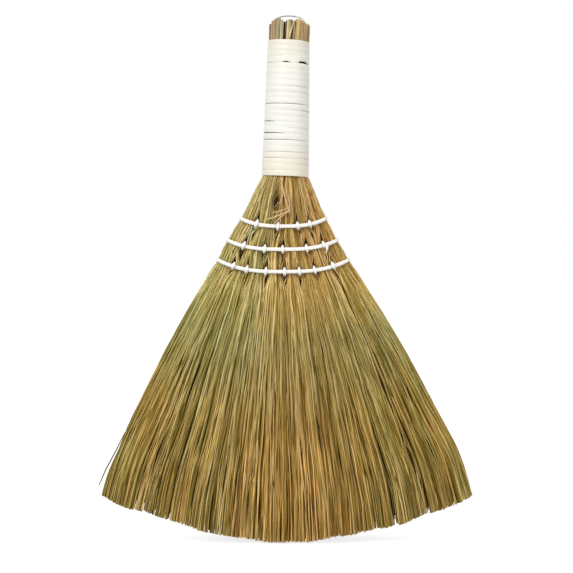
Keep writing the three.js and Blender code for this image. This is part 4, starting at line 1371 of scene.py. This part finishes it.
# Points along each straw, in millimetres.
bent = [(-2.6, -13.8, 256), (-1.2, -15.8, 247), (1.2, -15.9, 238), (3.2, -15.2, 231.6), (-2, -14.8, 228.8),
        (-8, -14.3, 226.4), (-13, -13.6, 225.2)]
crossing = [
    [(2.4, -15.5, 243), (3.4, -15.4, 236), (3.6, -15, 229)],
    [(3.2, -15.4, 231), (-3, -15, 226.5), (-7.5, -14.2, 221.8)],
    [(-3.5, -14.9, 236), (-1, -15.2, 242), (-1.5, -14.4, 251)],
    [(-8.5, -14.3, 230), (-3.5, -15, 230.8), (2.6, -15.3, 233)],
]
edge_stray = [(-112, 0, 76), (-119, -1, 62), (-125.5, -1, 50), (-130.6, 0, 38.5)]
flyaways = [
    [(-83, 0, 134), (-89, -1, 122.5), (-94, -1, 111.5)], [(93, 0, 116), (99, 1, 104), (103.5, 1, 92)],
    [(74, 0, 150), (80, -1, 140), (84.5, -2, 131)], [(119.5, 0, 69), (124, -1, 58), (126.6, -1, 50)],
    [(-66, 0, 163), (-71.5, 0, 153.5), (-76, -1, 144)], [(103, 0, 99), (109, 0, 87), (113.4, 1, 77)],
    [(-27.6, 0, 228), (-31.5, -1, 222), (-34.4, -1, 216)], [(25.5, 0, 233), (28.6, -1, 227), (31, -2, 221)],
]
# Each kind of stray straw: its paths, its share of the full thickness and its tone.
stray_kinds = [([bent], 1.0, 0.97), (crossing, 0.8, 0.97), ([edge_stray], 0.9, 0.02), (flyaways, 0.55, 0.3)]


def bare_straw(points, share):
    """A straw's path that starts and ends a little thinner."""
    shares = [STRAY_END * share] + [share] * (len(points) - 2) + [STRAY_END * share]
    return list(zip(points, shares))


stray_paths = []
tones = []
for paths, share, tone in stray_kinds:
    for points in paths:
        stray_paths.append(bare_straw(points, share))
        tones += [tone] * len(points)
strays = make_paths("stray_straws", stray_paths, closed=False)
for label, values in (("tone", tones), ("outer", [1.0] * len(tones))):
    strays.data.attributes.new(label, "FLOAT", "POINT").data.foreach_set("value", values)
grow(strays, cord_tree, {"Radius": STRAY_RADIUS * MM, "Squash": 1.0, "Sides": STRAY_SIDES, "Axis": AXIS_Y,
                         "Finish": broomcorn})
mount(strays, "broom", "broomcorn_fibre")

# %% [markdown]
# ## The hanging loop
# A thin galvanised wire, bent to an arch, has its ends turned outwards through holes in the two outermost
# stalks. Half a torus would lack those ends, so the wire's middle line is worked out and the cord's tree
# sweeps a round wire along it. It can swing, so it rides on the loop's own body.

# %% Wire finish
WIRE_BLOOM = (2, 2, 2)


def make_wire_finish():
    # Galvanised wire: zinc that has dulled unevenly, so it is a soft grey metal with no sharp reflections.
    material, tree, surface = new_finish("galvanised_wire")
    colour = put(tree, "ShaderNodeValToRGB", {0: grain(tree, WIRE_BLOOM, detail=2.0)})
    set_ramp(colour, [(0.3, "a3a29d"), (0.7, "c6c5bf")])
    fill(tree, surface, {"Base Color": colour, "Metallic": 0.85, "Roughness": 0.42})
    return material


wire_finish = make_wire_finish()

# %% Wire loop
LOOP_PIVOT_Z = 357.2
LOOP_PIVOT_X = GRIP_SHIFT + GRIP_LEAN * (LOOP_PIVOT_Z - COLLAR_Z)
LOOP_LEAN = math.radians(22)
LOOP_HALF_WIDTH = 11.2
LOOP_END_X = 14.0
LOOP_BEND = 1.6
LOOP_LEG = 4.2
LOOP_FULLNESS = 0.8
LOOP_WIRE_RADIUS = 0.45
# In the photograph the wire is a little lower than in the solids.
LOOP_DROP = 1.2
LOOP_TOP_Z = span_of("hanging_loop", 2)[1] - LOOP_WIRE_RADIUS - LOOP_DROP
BEND_STEPS = 6
ARCH_STEPS = 32
WIRE_SIDES = 8


def loop_outline():
    """The wire's middle line as (x, up) from the pivot, from the left end to the right end."""
    arch_height = (LOOP_TOP_Z - LOOP_PIVOT_Z) / math.cos(LOOP_LEAN) - LOOP_LEG
    left = [(-LOOP_END_X, 0.0)]
    for step in range(BEND_STEPS + 1):
        angle = math.pi / 2 * step / BEND_STEPS
        left.append((-LOOP_HALF_WIDTH - LOOP_BEND + LOOP_BEND * math.sin(angle),
                     LOOP_BEND - LOOP_BEND * math.cos(angle)))
    arch = []
    for step in range(ARCH_STEPS + 1):
        angle = math.pi * (1 - step / ARCH_STEPS)
        up = LOOP_LEG + arch_height * math.sin(angle) ** LOOP_FULLNESS
        arch.append((LOOP_HALF_WIDTH * math.cos(angle), up))
    right = [(-x, up) for x, up in reversed(left)]
    return left + arch + right


path = []
for x, up in loop_outline():
    point = (LOOP_PIVOT_X + x, up * math.sin(LOOP_LEAN), LOOP_PIVOT_Z + up * math.cos(LOOP_LEAN))
    path.append((point, 1.0))
loop = make_paths("wire_loop", [path], closed=False)
grow(loop, cord_tree, {"Radius": LOOP_WIRE_RADIUS * MM, "Squash": 1.0, "Sides": WIRE_SIDES, "Axis": AXIS_Y,
                       "Finish": wire_finish})
mount(loop, "loop", "loop_wire", "hanging_loop")

# %% [markdown]
# ## The bindings
# Under the wrap, turns of tying wire hold the stalks together. They could be wound like the cane, but
# nothing shows of them. So the solids stay, with the wire's finish.

# %% Bindings under the wrap
BINDINGS = ("binding_top", "binding_neck")

for thing in bpy.data.objects:
    if thing.name in BINDINGS:
        thing.data.materials.clear()
        thing.data.materials.append(wire_finish)
print("bindings:", *BINDINGS)
